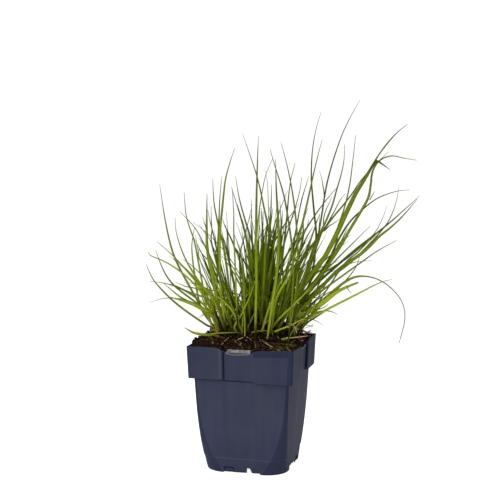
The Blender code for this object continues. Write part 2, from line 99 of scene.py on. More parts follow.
STEP = (-17.9, -16.0)               # painted shadow line beside a block
BLOCK_LIT = (BLOCK_TURN, -18.6)     # a block's round edge, which catches light
RAMP_TOP = 14.0                     # from here on the top of a ramp panel is painted darker, as shade
END_LIT, END_DARK = 43.0, 48.6      # the end of a side is painted lighter on the left and right, else darker, as light and shade
SHARP_EDGE = math.radians(19.0)
SHELF = (-15.0, 10.0)               # moulded shelf behind the dip
SHELF_HALVES = (46.0, 50.6)
SHELF_TOPS = (127.8, 125.5)
SHELF_DEPTH = 4.0

# The face attribute shade, painted light and shade on the pot, from near black at 0 to pale at 1
PLAIN, PLAIN_SIDE = 0.5, 0.26       # on the front and back, and with painted shade on the left and right
NEAR_BLACK = 0.13                   # darker than this the painted shadow turns near black
LOW_SHADE, LOW_FROM, LOW_FADE = 0.06, 50.0, 30.0    # the body is painted this much darker low down, as shade
# Painted shade and shadow at set places on the pot, and a painted highlight on the lip of the rim and under
# it
SHADES = {"ledge_shadow": 0.11, "edge": 0.06, "pocket": 0.07, "corner": 0.30, "creased corner": 0.38, "lip": 1.0,
          "rim": 0.42, "under the lip": 0.72, "step": 0.14, "side step": 0.03, "ramp top": 0.27}
PAINTED_SHADE_STEPS = {"arch": -0.09, "crease": 0.07, "lit end": 0.1, "lit block": 0.05, "collar": -0.05}  # painted light and shade, added to plain

# Peat
PEAT_HALF = 50.8
PEAT_CELLS = 150
PEAT_WALL = ((100.0, 50.0), (94.0, 48.0), (61.0, 46.2), (36.0, 44.6), (7.2, 41.6))  # heights, half widths
SHELF_ROOM = 3.6                    # the peat stays this much lower behind the front shelf
CROWN = (3.0, 12.0, 40.0, 30.0, 13.0)   # the tuft's crown of peat: place in the view, reach and height
CRUMB_COUNT = 5200
LUMP_PLACE, LUMP_CRUMBS = (33.0, 39.0), 420
MOSS_PLACE, MOSS_CRUMBS = (42.0, -15.0), 220

# Grass
SECTION_SPACING = 3.2
COLUMNS = 7
BURIED = 5.0                        # a blade goes on this far into the peat
SLIM = 0.86                         # share of a solid's width that its blade shows
LEAST_HALF = 0.2
LEVEL_UNIT = 400.0
DARK_FEET, DARK_FADE = (146.0, 164.0), 16.0     # hidden feet are painted with shade, dark brown, below a height between these
TILLER_FEET = (152.0, 182.0)        # and those of the tillers below these
BROWN_REACH = 15.0                  # and within this distance of where they stand
FAN_BACK, FAN_FOOT, FAN_HEIGHT, FAN_SPREAD = 12.0, 125.0, 250.0, 1.4

# Stage
TABLE_RADIUS, TABLE_GLOW = 0.8, 0.9
WALL_LIGHT = 1.03
SIDE_LIGHT = (0.6, 0.2)             # of the world, on the left and on the right
KEY_POWER, OVERHEAD_POWER = 22.0, 24.0


def smooth(value):
    """Ease from 0 to 1."""
    value = min(max(value, 0.0), 1.0)
    return value * value * (3.0 - 2.0 * value)


def between(table, value):
    for (low, start), (high, end) in zip(table, table[1:]):
        if value <= high:
            return start + (end - start) * (value - low) / (high - low)
    return table[-1][1]


def make_object(name, shape, material, smooth_shading=True, face_values=None):
    """A mesh object from a shape: points in millimetres, faces, and float attributes on the points."""
    vertices, faces, attributes = shape
    mesh = bpy.data.meshes.new(name)
    mesh.from_pydata((np.asarray(vertices, dtype=float) * MM).tolist(), [], faces)
    for domain, layers in (("POINT", attributes), ("FACE", face_values or {})):
        for key, values in layers.items():
            layer = mesh.attributes.new(key, "FLOAT", domain)
            layer.data.foreach_set("value", np.asarray(values, dtype=np.float32))
    mesh.update()
    mesh.validate()
    obj = bpy.data.objects.new(name, mesh)
    bpy.context.scene.collection.objects.link(obj)
    mesh.materials.append(material)
    if smooth_shading:
        mesh.shade_smooth()
    return obj


def join_shapes(shapes):
    """Put (vertices, faces, attributes) shapes together in one."""
    vertices, faces, attributes = [], [], {}
    offset = 0
    for points, sides, values in shapes:
        vertices.append(points)
        faces += [[corner + offset for corner in side] for side in sides]
        for key, value in values.items():
            attributes.setdefault(key, []).append(value)
        offset += len(points)
    return np.concatenate(vertices), faces, {key: np.concatenate(v) for key, v in attributes.items()}


def loft_faces(rows, count):
    """Faces of a closed tube of rows of points, with both ends closed."""
    faces = []
    for row in range(rows - 1):
        for i in range(count):
            j = (i + 1) % count
            faces.append([row * count + i, row * count + j, (row + 1) * count + j, (row + 1) * count + i])
    faces.append([i for i in reversed(range(count))])
    faces.append([(rows - 1) * count + i for i in range(count)])
    return faces


# Materials

def new_material(name, colour, roughness, gloss=0.5):
    material = bpy.data.materials.new(name)
    material.use_nodes = True
    shader = material.node_tree.nodes["Principled BSDF"]
    shader.inputs["Base Color"].default_value = (*colour, 1.0)
    shader.inputs["Roughness"].default_value = roughness
    shader.inputs["Specular IOR Level"].default_value = gloss
    return material, material.node_tree, shader


def add_node(tree, kind, **settings):
    node = tree.nodes.new("ShaderNode" + kind)
    for key, value in settings.items():
        setattr(node, key, value)
    return node


def plug(tree, value, socket):
    """Give a socket another socket, a number or a colour."""
    if isinstance(value, tuple):
        socket.default_value = (*value, 1.0)
    elif isinstance(value, (int, float)):
        socket.default_value = value
    else:
        tree.links.new(value, socket)


def place_in(tree):
    return add_node(tree, "TexCoord").outputs["Object"]


def attribute(tree, name):
    return add_node(tree, "Attribute", attribute_name=name).outputs["Fac"]


def noise(tree, coordinates, scale, detail=4.0, roughness=0.55):
    node = add_node(tree, "TexNoise")
    for key, value in (("Vector", coordinates), ("Scale", scale), ("Detail", detail),
                       ("Roughness", roughness)):
        plug(tree, value, node.inputs[key])
    return node.outputs["Fac"]


def ramp(tree, value, stops):
    node = add_node(tree, "ValToRGB")
    elements = node.color_ramp.elements
    while len(elements) < len(stops):
        elements.new(0.5)
    for element, (place, colour) in zip(elements, stops):
        element.position = place
        element.color = (*colour, 1.0)
    tree.links.new(value, node.inputs["Fac"])
    return node.outputs["Color"]


def mix(tree, share, first, second, blend="MIX"):
    """Mix two colours; each may be a socket or a colour, and share a socket or a number."""
    node = add_node(tree, "Mix", data_type="RGBA", blend_type=blend)
    for place, value in ((0, share), (6, first), (7, second)):
        plug(tree, value, node.inputs[place])
    return node.outputs[2]


def scaled(tree, value, low, high, to_low, to_high):
    node = add_node(tree, "MapRange")
    for socket, number in zip(node.inputs, (value, low, high, to_low, to_high)):
        plug(tree, number, socket)
    return node.outputs["Result"]


def calculate(tree, operation, *values):
    node = add_node(tree, "Math", operation=operation)
    for socket, value in zip(node.inputs, values):
        plug(tree, value, socket)
    return node.outputs[0]


def layered(tree, base, *layers):
    """Lay colours over base. A layer gives its colour, then what scaled takes to make its share."""
    for colour, *steps in layers:
        base = mix(tree, scaled(tree, *steps), base, colour)
    return base


def finish_surface(tree, shader, base, height, strength, distance):
    """Give the shader its colour and a bump."""
    tree.links.new(base, shader.inputs["Base Color"])
    node = add_node(tree, "Bump")
    for key, value in (("Strength", strength), ("Distance", distance), ("Height", height)):
        plug(tree, value, node.inputs[key])
    tree.links.new(node.outputs["Normal"], shader.inputs["Normal"])


def pot_material():
    """Satin slate-blue plastic with moulding streaks and a little dust.

    The face attribute shade paints light and shade on: it is PLAIN on plain faces, lower where shade is
    painted and higher where light is painted.
    """
    material, tree, shader = new_material("slate_plastic", (0.033, 0.037, 0.068), 0.5, 0.02)
    place = place_in(tree)
    stretch = add_node(tree, "Mapping")
    stretch.inputs["Scale"].default_value = (1.0, 1.0, 0.05)
    tree.links.new(place, stretch.inputs["Vector"])
    streaks = noise(tree, stretch.outputs["Vector"], 110.0)
    shade = attribute(tree, "shade")
    base = ramp(tree, noise(tree, place, 38.0), ((0.3, (0.034, 0.039, 0.069)),
                                                 (0.7, (0.0395, 0.0445, 0.0745))))
    base = layered(tree, base,
                   ((0.056, 0.060, 0.073), streaks, 0.48, 0.72, 0.0, 0.28),
                   ((0.022, 0.026, 0.054), streaks, 0.28, 0.46, 0.25, 0.0),
                   # painted shade, painted near-black shadow and painted light, by the face attribute shade
                   ((0.006, 0.008, 0.030), shade, 0.0, PLAIN, 1.0, 0.0),
                   ((0.003, 0.004, 0.010), shade, 0.0, NEAR_BLACK, 1.0, 0.0),
                   ((0.15, 0.155, 0.19), shade, PLAIN, 1.0, 0.0, 1.0),
                   ((0.09, 0.088, 0.095), noise(tree, place, 210.0, detail=6.0), 0.64, 0.8, 0.0, 0.2))
    tree.links.new(scaled(tree, streaks, 0.3, 0.7, 0.45, 0.58), shader.inputs["Roughness"])
    finish_surface(tree, shader, base, noise(tree, place, 1500.0, detail=2.0), 0.1, 0.0002)
    return material


def shelf_material():
    """The same plastic, smooth where plant labels slide over it. Its top is bright in patches, partly rubbed
    pale and partly a painted reflection, and below is painted shadow.
    """
    material, tree, shader = new_material("rubbed_plastic_painted_sheen", (0.15, 0.155, 0.18), 0.24)
    place = place_in(tree)
    wear_and_sheen = noise(tree, place, 300.0, detail=5.0)
    height = add_node(tree, "SeparateXYZ")
    tree.links.new(place, height.inputs["Vector"])
    # bright patches: painted reflection, partly rubbed pale plastic
    base = ramp(tree, wear_and_sheen, ((0.4, (0.03, 0.029, 0.028)), (0.6, (0.155, 0.15, 0.145))))
    # painted shadow on the shelf's face below its top
    base = layered(tree, base, ((0.010, 0.011, 0.02), height.outputs["Z"], 0.1252, 0.1256, 1.0, 0.0))
    finish_surface(tree, shader, base, wear_and_sheen, 0.1, 0.0002)
    return material


def peat_material():
    material, tree, shader = new_material("moist_peat", (0.02, 0.012, 0.007), 0.9, 0.1)
    place = place_in(tree)
    fine = noise(tree, place, 900.0, detail=6.0, roughness=0.7)
    base = ramp(tree, fine, ((0.35, (0.002, 0.001, 0.0004)), (0.55, (0.014, 0.0062, 0.0018)),
                             (0.72, (0.075, 0.034, 0.008))))
    coarse = noise(tree, place, 170.0, detail=5.0)
    base = layered(tree, base, ((0.016, 0.0075, 0.002), coarse, 0.45, 0.7, 0.0, 0.5))
    finish_surface(tree, shader, base, fine, 0.8, 0.0012)
    return material


def crumb_material():
    """Crumbs and bark chips, from near black through brown to tan, and beyond 0.92 green moss."""
    material, tree, shader = new_material("peat_crumbs", (0.04, 0.024, 0.012), 0.85, 0.1)
    fine = noise(tree, place_in(tree), 1400.0, detail=5.0)
    base = ramp(tree, attribute(tree, "tone"), (
        (0.0, (0.003, 0.0014, 0.0005)), (0.34, (0.014, 0.006, 0.0016)), (0.58, (0.095, 0.038, 0.007)),
        (0.74, (0.12, 0.07, 0.01)), (0.9, (0.44, 0.26, 0.1)), (0.93, (0.075, 0.075, 0.007)),
        (1.0, (0.12, 0.12, 0.013))))
    base = layered(tree, base, ((0.008, 0.005, 0.003), fine, 0.3, 0.7, 0.0, 0.7))
    finish_surface(tree, shader, base, fine, 0.6, 0.0006)
    return material


def straw_material():
    material, tree, shader = new_material("dry_straw", (0.4, 0.28, 0.13), 0.6, 0.1)
    base = ramp(tree, attribute(tree, "tone"), ((0.0, (0.07, 0.033, 0.01)), (0.5, (0.26, 0.15, 0.055)),
                                                (1.0, (0.66, 0.48, 0.3))))
    patches = scaled(tree, noise(tree, place_in(tree), 700.0), 0.45, 0.75, 0.0, 0.6)
    base = mix(tree, patches, base, (0.11, 0.055, 0.02))
    finish_surface(tree, shader, base, patches, 0.3, 0.0003)
    return material


# Colours of lush and of deep green blades, by their height in units of LEVEL_UNIT
GRASS_LEVELS = (0.32, 0.43, 0.56, 0.7, 0.9)
LUSH = ((0.7, 0.73, 0.07), (0.57, 0.7, 0.026), (0.43, 0.58, 0.013), (0.28, 0.36, 0.01), (0.18, 0.22, 0.024))
DEEP = ((0.07, 0.1, 0.002), (0.04, 0.08, 0.001), (0.055, 0.104, 0.002), (0.07, 0.105, 0.004),
        (0.07, 0.085, 0.012))


def grass_material():
    """Living grass: yellow-green at the foot, mid green above, duller towards a dry tip."""
    material, tree, shader = new_material("grass", (0.12, 0.2, 0.02), 0.48, 0.08)
    across, level = attribute(tree, "across"), attribute(tree, "level")
    deep, lush = (ramp(tree, level, list(zip(GRASS_LEVELS, colours))) for colours in (DEEP, LUSH))
    stripes = calculate(tree, "SINE", calculate(tree, "MULTIPLY", across, 17.0))
    off_rib = calculate(tree, "ABSOLUTE", across)
    base = layered(tree, mix(tree, attribute(tree, "tone"), deep, lush),
                   ((0.05, 0.08, 0.003), stripes, -1.0, 1.0, 0.0, 0.25),
                   ((0.03, 0.05, 0.002), off_rib, 0.5, 1.0, 0.0, 0.6),
                   ((0.28, 0.31, 0.015), noise(tree, place_in(tree), 120.0, detail=3.0), 0.5, 0.8, 0.0, 0.4),
                   ((0.36, 0.42, 0.06), off_rib, 0.0, 0.16, 0.35, 0.0))
    tip = calculate(tree, "MULTIPLY", scaled(tree, attribute(tree, "along"), 0.86, 1.0, 0.0, 0.85),
                    attribute(tree, "dry"))
    base = mix(tree, tip, base, (0.17, 0.12, 0.05))
    # painted shade, dark brown, on the feet hidden in the tuft
    base = layered(tree, base, ((0.016, 0.012, 0.002), attribute(tree, "brown"), 0.0, 1.0, 0.0, 0.95))
    finish_surface(tree, shader, base, stripes, 0.25, 0.0002)
    through = add_node(tree, "BsdfTranslucent")
    tree.links.new(mix(tree, 1.0, base, (1.0, 1.0, 0.35), "MULTIPLY"), through.inputs["Color"])
    leaf = add_node(tree, "MixShader")
    for place, value in enumerate((0.28, shader.outputs["BSDF"], through.outputs["BSDF"])):
        plug(tree, value, leaf.inputs[place])
    tree.links.new(leaf.outputs["Shader"], tree.nodes["Material Output"].inputs["Surface"])
    return material


# Pot

def body_half(height):
    return between(BODY, height)


def corner_radius(height):
    return CORNER_RADIUS_TOP + CORNER_RADIUS_GROWTH * (1.0 - min(height / BODY_TOP, 1.0)) ** 3


def ledge_height(s):
    """Lower edge of the collar along a side, with soft steps between its panels."""
    to_middle = smooth((s - BLOCK_END + 0.3) / 0.6)
    to_ramp = smooth((s - RAMP_START) / (RAMP_END - RAMP_START))
    return LEDGE_BLOCK + (LEDGE_MIDDLE - LEDGE_BLOCK) * to_middle + (LEDGE_RAMP - LEDGE_MIDDLE) * to_ramp


def block_fall(s, height):
    """How much of the step from a block to the middle panel lies before s: a block ends in a round edge."""
    shift = 0.0
    low = LEDGE_BLOCK + BLOCK_CORNER - height
    if low > 0.0:
        shift = BLOCK_CORNER - math.sqrt(max(BLOCK_CORNER ** 2 - low ** 2, 0.0))
    turn = (s + shift - BLOCK_TURN) / (BLOCK_END - BLOCK_TURN)
    if turn <= 0.0:
        return 0.0
    return 1.0 if turn >= 1.0 else 1.0 - math.sqrt(1.0 - turn * turn)


def panel_inset(s, height):
    """How far the collar's surface stands behind its corner panels."""
    to_ramp = smooth((s - RAMP_START) / (RAMP_END - RAMP_START))
    groove = GROOVE_DEPTH * math.exp(-((s - GROOVE_PLACE) / GROOVE_REACH) ** 2)
    dent = DENT_DEPTH * to_ramp * smooth((height - DENT[0]) / 1.2) * smooth((DENT[1] - height) / 1.2)
    return PANEL_INSET * block_fall(s, height) * (1.0 - to_ramp) + groove + dent


def rim_height(s):
    """The rim's line with its bends rounded off."""
    low, high = RIM_LINE[0][0], RIM_LINE[-1][0]
    near = [between(RIM_LINE, min(max(s + step, low), high)) for step in (-1.2, -0.6, 0.0, 0.6, 1.2)]
    return sum(near) / len(near)


SIDE_MARKS = np.unique(np.concatenate([
    np.linspace(-50.0, -25.0, 11), np.linspace(-24.0, -15.6, 43), np.linspace(-14.8, 10.0, 18),
    np.linspace(10.7, 18.0, 14), np.linspace(20.0, 50.0, 13), (-11.4, -10.6, -10.2, -9.2, 4.4, 4.8, 7.8, 18.4,
                                                            18.8, 48.6)]))
MARKS_END = 51.0
MARKS_CORE = 19.4                   # marks nearer the middle keep their place at each height


def side_columns(half, radii):
    """Places along a side, from its block corner to its ramp corner."""
    ramp_end, block_end = half - radii[0], half - radii[1]
    columns = []
    for s in SIDE_MARKS:
        room = (block_end if s < 0.0 else ramp_end) - MARKS_CORE
        beyond = max(abs(s) - MARKS_CORE, 0.0)
        columns.append(math.copysign(abs(s) - beyond + beyond * room / (MARKS_END - MARKS_CORE), s))
    return [-block_end, *columns, ramp_end]


WAYS = (1, -1, 1, -1)               # the sides take turns in running one way and the other, as in the solid


def quarter_turned(points, turn):
    """Points turned about the pot's axis by a number of quarter turns."""
    quarter = math.pi / 2 * turn
    return [(x * math.cos(quarter) - y * math.sin(quarter),
             x * math.sin(quarter) + y * math.cos(quarter), z) for x, y, z in points]


def wall_ring(half, radii, place, corner_heights):
    """One ring round the pot. place(s, turn) gives half width and height at s along each side."""
    columns = side_columns(half, radii)
    ring = []
    for turn, way in enumerate(WAYS):
        points = [(way * s, -place(s, turn)[0], place(s, turn)[1]) for s in columns[::way]]
        arc = radii[turn % 2]
        centre = half - arc
        for step in range(1, CORNER_STEPS):
            angle = math.pi / 2 * step / CORNER_STEPS
            points.append((centre + arc * math.sin(angle), -centre - arc * math.cos(angle),
                           corner_heights[turn % 2]))
        ring += quarter_turned(points, turn)
    return ring


def in_recess(s, height):
    start, end, top, _ = RECESS
    return start < s < end and height < top


def body_ring(height, inset=0.0):
    half = body_half(height) - inset
    radius = corner_radius(height) - inset

    def place(s, turn):
        return half - RECESS[3] * (inset == 0.0 and in_recess(s, height)), height
    return wall_ring(half, (radius, radius), place, (height, height))


def foot_height(s, turn):
    """The lower edge of a side: an arch with steps at its ends, and a notch with one sloping side."""
    start, low, end, high = ARCHES[turn % 2]
    if not start < s < end:
        return 0.0
    arch = low + (high - low) * (s - start) / (end - start)
    notch = min((s - NOTCH[0]) / (NOTCH[1] - NOTCH[0]), (NOTCH[3] - s) / (NOTCH[3] - NOTCH[2]), 1.0)
    return max(arch, NOTCH_HEIGHT * notch)


def foot_ring(inset, lift):
    half = body_half(0.0) - inset
    radius = corner_radius(0.0) - inset

    def place(s, turn):
        return half - RECESS[3] * (inset < WALL / 2 and in_recess(s, 0.0)), foot_height(s, turn) + lift
    return wall_ring(half, (radius, radius), place, (lift, lift))


def low_ring(height):
    """A ring on the body that stays above its lower edge."""
    return [(x, y, max(z, edge + 0.02 * height))
            for (x, y, z), (_, _, edge) in zip(body_ring(height), foot_ring(0.0, 0.2))]


def collar_ring(share, inset=0.0, up=0.0):
    """A ring on the collar: share 0 is its lower edge and 1 the rim."""
    corner_half = COLLAR_FOOT_HALF + (RIM_HALF - COLLAR_FOOT_HALF) * share

    def place(s, _):
        height = ledge_height(s) + (rim_height(s) - ledge_height(s)) * share
        return corner_half - panel_inset(s, height) - inset, height + up
    radii = [radius - min(inset, WALL) for radius in COLLAR_RADII]
    corner_heights = [ledge + (RIM_HEIGHT - ledge) * share + up for ledge in (LEDGE_RAMP, LEDGE_BLOCK)]
    return wall_ring(corner_half - inset, radii, place, corner_heights)


def under_ledge_ring(inset, down):
    """A ring on the body close under the collar."""
    half = body_half(BODY_TOP) - inset
    radii = (CORNER_RADIUS_TOP, CORNER_RADIUS_TOP)
    return wall_ring(half, radii, lambda s, _: (half, ledge_height(s) - down),
                     (LEDGE_RAMP - down, LEDGE_BLOCK - down))


def pad_ring(half, height):
    return wall_ring(half, (PAD_RADIUS, PAD_RADIUS), lambda s, _: (half, height), (height, height))


def pot_rings():
    """From the pad under the floor, out, up the outside, over the rim and down the inside to the floor.

    Each ring comes with a name for the band of faces above it.
    """
    rings = [(pad_ring(PAD_HALF, 0.0), "inside"), (pad_ring(PAD_HALF + PAD_SLOPE, FLOOR_HEIGHT), "inside")]
    rings += [(body_ring(FLOOR_HEIGHT, WALL), "inside"), (foot_ring(WALL, 0.15), "inside")]
    rings += [(foot_ring(WALL - 0.25, 0.0), "inside"), (foot_ring(0.25, 0.0), "foot")]
    rings.append((foot_ring(0.0, 0.2), "foot"))
    rings += [(low_ring(height), "foot" if height < LINTEL else "lintel") for height in FOOT_LEVELS]
    rings += [(body_ring(height), "crease" if height in CREASE_LEVELS else "body") for height in SKIRT_LEVELS]
    rings += [(body_ring(height), "body") for height in np.linspace(*BODY_ROW_HEIGHTS, BODY_ROWS)]
    # The bands just under the collar carry a painted shadow of its ledge
    rings += [(under_ledge_ring(0.0, 1.3), "ledge_shadow"), (under_ledge_ring(0.0, 0.35), "ledge_shadow")]
    rings += [(under_ledge_ring(0.35, 0.0), "ledge_shadow"), (collar_ring(0.0, inset=EDGE_EASE), "collar")]
    rings += [(collar_ring(0.0, inset=EDGE_EASE * 0.3, up=EDGE_EASE * 0.3), "collar")]
    rings.append((collar_ring(0.0, up=EDGE_EASE), "collar"))
    rings += [(collar_ring(row / COLLAR_ROWS), "collar" if row / COLLAR_ROWS < TOP_BAND else "top")
              for row in range(1, COLLAR_ROWS - 1)]
    rings.append((collar_ring((COLLAR_ROWS - 1) / COLLAR_ROWS), "edge"))
    for step in range(RIM_STEPS + 1):
        angle = math.pi * step / RIM_STEPS
        rings.append((collar_ring(1.0, inset=WALL / 2 * (1.0 - math.cos(angle)),
                                  up=(math.sin(angle) - 1.0) * WALL / 2 * 0.8), "rim"))
    rings += [(collar_ring(share, inset=WALL), "inside") for share in INNER_COLLAR]
    rings += [(body_ring(height, WALL), "inside") for height in (*INNER_BODY, FLOOR_HEIGHT + WALL)]
    rings.append((pad_ring(PAD_HALF + PAD_SLOPE, FLOOR_HEIGHT + WALL), "inside"))
    rings.append((pad_ring(PAD_HALF, WALL), "inside"))
    return rings


def face_shade(band, s, turn, height):
    """How much painted light or shade a face gets, by its band, place along a side and height. s is None on a
    corner.
    """
    if band == "inside":
        return PLAIN
    # painted shadow under the collar's ledge
    if band == "ledge_shadow":
        return SHADES["ledge_shadow"]
    # the left and right sides get painted shade
    plain = PLAIN_SIDE if turn % 2 else PLAIN
    low = band in ("foot", "lintel")
    # painted shade along the lower edge
    if low and height - (0.0 if s is None else foot_height(s, turn)) < EDGE_REACH:
        return SHADES["edge"]
    # painted shade on the rounded corners
    if s is None:
        return SHADES["creased corner" if band == "crease" else "corner"]
    if low:
        start, end = RECESS[:2]
        near_side = min(abs(s - start), abs(s - end)) < POCKET_MARGIN
        in_pocket = start - POCKET_MARGIN < s < end + POCKET_MARGIN
        # painted shade in the pocket and at its sides
        if in_pocket and (turn % 2 or near_side or band == "lintel"):
            return SHADES["pocket"]
        # painted shade over the arch of the front and back
        return plain + PAINTED_SHADE_STEPS["arch"] * (turn % 2 == 0 and start < s < ARCHES[0][2])
    # painted shade low on the body of the front and back
    if band == "body":
        return plain - LOW_SHADE * smooth((LOW_FROM - height) / LOW_FADE) * (turn % 2 == 0)
    # painted highlight along the skirt's crease
    if band == "crease":
        return plain + PAINTED_SHADE_STEPS["crease"]
    # painted highlight on the rim's lip where it dips, and on the row under it
    lit_lip = LIP[0] < s < LIP[1]
    if band == "rim":
        return SHADES["lip" if lit_lip else "rim"]
    if band == "edge" and lit_lip:
        return SHADES["under the lip"]
    # painted light at the end of the left and right sides, painted shade at the end of the front and back
    if turn % 2 and s > END_LIT:
        return plain + PAINTED_SHADE_STEPS["lit end"]
    if not turn % 2 and s > END_DARK:
        return SHADES["corner"]
    # painted shadow in the step beside a block, near black on the left and right
    if STEP[0] < s < STEP[1]:
        return SHADES["side step" if turn % 2 else "step"]
    if BLOCK_LIT[0] < s < BLOCK_LIT[1]:
        return plain + PAINTED_SHADE_STEPS["lit block"]
    # painted shade on the top of the ramp panels
    if band in ("top", "edge") and s > RAMP_TOP:
        return SHADES["ramp top"]
    return plain + PAINTED_SHADE_STEPS["collar"]


def pot_shades(rings):
    """The shade of each face between the rings, in the order of loft_faces."""
    places = [-MARKS_END, *SIDE_MARKS, MARKS_END]
    shades = []
    for ring, band in rings[:-1]:
        height = ring[0][2]
        for turn, way in enumerate(WAYS):
            along = places[::way]
            shades += [face_shade(band, (a + b) / 2, turn, height) for a, b in zip(along, along[1:])]
            shades += [face_shade(band, None, turn, height)] * CORNER_STEPS
    return shades + [PLAIN, PLAIN]


def cut_drains(pot):
    """Round drain holes through the floor, as in the solid."""
    for turn in range(4):
        angle = math.pi / 2 * turn
        place = Vector((math.cos(angle), math.sin(angle), 0.0)) * DRAIN_PLACE
        place.z = FLOOR_HEIGHT + WALL / 2
        bpy.ops.mesh.primitive_cylinder_add(vertices=32, radius=DRAIN_RADIUS * MM, depth=4 * WALL * MM,
                                            location=place * MM)
        cutter = bpy.context.object
        cut = pot.modifiers.new("drain", "BOOLEAN")
        cut.object = cutter
        bpy.context.view_layer.objects.active = pot
        bpy.ops.object.modifier_apply(modifier=cut.name)
        bpy.data.objects.remove(cutter, do_unlink=True)


def shelf_shape():
    """The moulded shelf behind the dip of each side, with a smooth top that slopes outwards."""
    start, end = SHELF
    inner, outer = SHELF_HALVES
    high, low = SHELF_TOPS
    profile = [(outer, low - SHELF_DEPTH), (outer, low - 0.5), (outer - 0.15, low - 0.1),
               (outer - 0.5, low + 0.08), (inner + 0.6, high - 0.1), (inner + 0.15, high - 0.2),
               (inner, high - 0.6), (inner, low - SHELF_DEPTH)]
    marks = [start, start + 0.12, start + 0.5, *np.linspace(start + 2.0, end - 2.0, 12), end - 0.5,
             end - 0.12, end]
    faces = loft_faces(len(marks), len(profile))
    shapes = []
    for turn, way in enumerate(WAYS):
        points = []
        for s in marks:
            drop = 0.5 * (1.0 - smooth(min(s - start, end - s) / 0.5))
            points += [(way * s, -half, z - drop * (z > low - 1.0)) for half, z in profile]
        sides = faces if way > 0 else [face[::-1] for face in faces]
        shapes.append((np.array(quarter_turned(points, turn)), sides, {}))
    return join_shapes(shapes)


def make_pot():
    rings = pot_rings()
    vertices = np.array([point for ring, _ in rings for point in ring])
    pot = make_object("pot_shell", (vertices, loft_faces(len(rings), len(rings[0][0])), {}), pot_material(),
                      face_values={"shade": pot_shades(rings)})
    cut_drains(pot)
    shelf = make_object("pot_label_shelves", shelf_shape(), shelf_material())
    for piece in (pot, shelf):
        piece.data.set_sharp_from_angle(angle=SHARP_EDGE)
        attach(piece, "root")
    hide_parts("pot")


# Peat

def solid_surface(node):
    """A ray caster on a solid, in metres."""
    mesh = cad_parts[node].data
    points = [vertex.co.copy() for vertex in mesh.vertices]
    return BVHTree.FromPolygons(points, [list(face.vertices) for face in mesh.polygons])


def wave_noise(x, y, waves):
    return sum(a * math.sin(fx * x + fy * y + phase) for a, fx, fy, phase in waves)


def make_waves(rng, count, length, height):
    waves = []
    for _ in range(count):
        bearing = rng.uniform(0.0, math.tau)
        frequency = math.tau / (length * rng.uniform(0.6, 1.6))
        waves.append((height * rng.uniform(0.5, 1.0), frequency * math.cos(bearing),
                      frequency * math.sin(bearing), rng.uniform(0.0, math.tau)))
    return waves


PEAT_SOLID = solid_surface("peat")
PEAT_RNG = random.Random(7)
PEAT_WAVES = make_waves(PEAT_RNG, 7, 13.0, 0.30) + make_waves(PEAT_RNG, 9, 4.5, 0.18)
CROWN_WAVES = make_waves(PEAT_RNG, 9, 9.0, 0.10)


def peat_top(x, y):
    """Height of the peat: the solid's top with the tuft's crown and lumps, lower behind the front shelf."""
    limit = PEAT_HALF - 0.8
    px, py = rounded_square(min(max(x, -limit), limit), min(max(y, -limit), limit), limit, 4.0)
    hit = PEAT_SOLID.ray_cast(Vector((px, py, 200.0)) * MM, Vector((0.0, 0.0, -1.0)))[0]
    front = smooth((-y - 43.0) / 4.0) * smooth((22.0 - abs(x + 2.5)) / 7.0)
    across, back, across_reach, back_reach, height = CROWN
    away = math.hypot((x * ACROSS.x + y * ACROSS.y - across) / across_reach,
                      (x * AWAY.x + y * AWAY.y - back) / back_reach)
    crown = height * smooth((1.0 - away) / 0.8) * (1.0 + wave_noise(x, y, CROWN_WAVES))
    return hit.z / MM - SHELF_ROOM * front + crown + wave_noise(x, y, PEAT_WAVES)


def make_peat():
    steps = PEAT_CELLS + 1
    marks = np.linspace(-PEAT_HALF, PEAT_HALF, steps)
    vertices = [(x, y, peat_top(x, y)) for x in marks for y in marks]
    corners = [i * steps + j for i in range(PEAT_CELLS) for j in range(PEAT_CELLS)]
    faces = [[a, a + steps, a + steps + 1, a + 1] for a in corners]
    edge = [i * steps for i in range(PEAT_CELLS)] + [PEAT_CELLS * steps + j for j in range(PEAT_CELLS)]
    edge += [i * steps + PEAT_CELLS for i in range(PEAT_CELLS, 0, -1)] + list(range(PEAT_CELLS, 0, -1))
    upper = edge
    for height, half in PEAT_WALL:
        share = half / PEAT_HALF
        radius = max(corner_radius(height) - WALL - 0.7, 1.5)
        lower = []
        for key in edge:
            x, y, _ = vertices[key]
            lower.append(len(vertices))
            vertices.append((*rounded_square(x * share, y * share, half, radius), height))
        for k in range(len(edge)):
            n = (k + 1) % len(edge)
            faces.append([lower[k], lower[n], upper[n], upper[k]])
        upper = lower
    faces.append(upper[::-1])
    peat = make_object("peat_bed", (vertices, faces, {}), peat_material())
    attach(peat, "root")
    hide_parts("peat")


def rounded_square(x, y, half, radius):
    centre = half - radius
    if abs(x) <= centre or abs(y) <= centre:
        return x, y
    offset = Vector((abs(x) - centre, abs(y) - centre)).normalized() * radius
    return math.copysign(centre + offset.x, x), math.copysign(centre + offset.y, y)


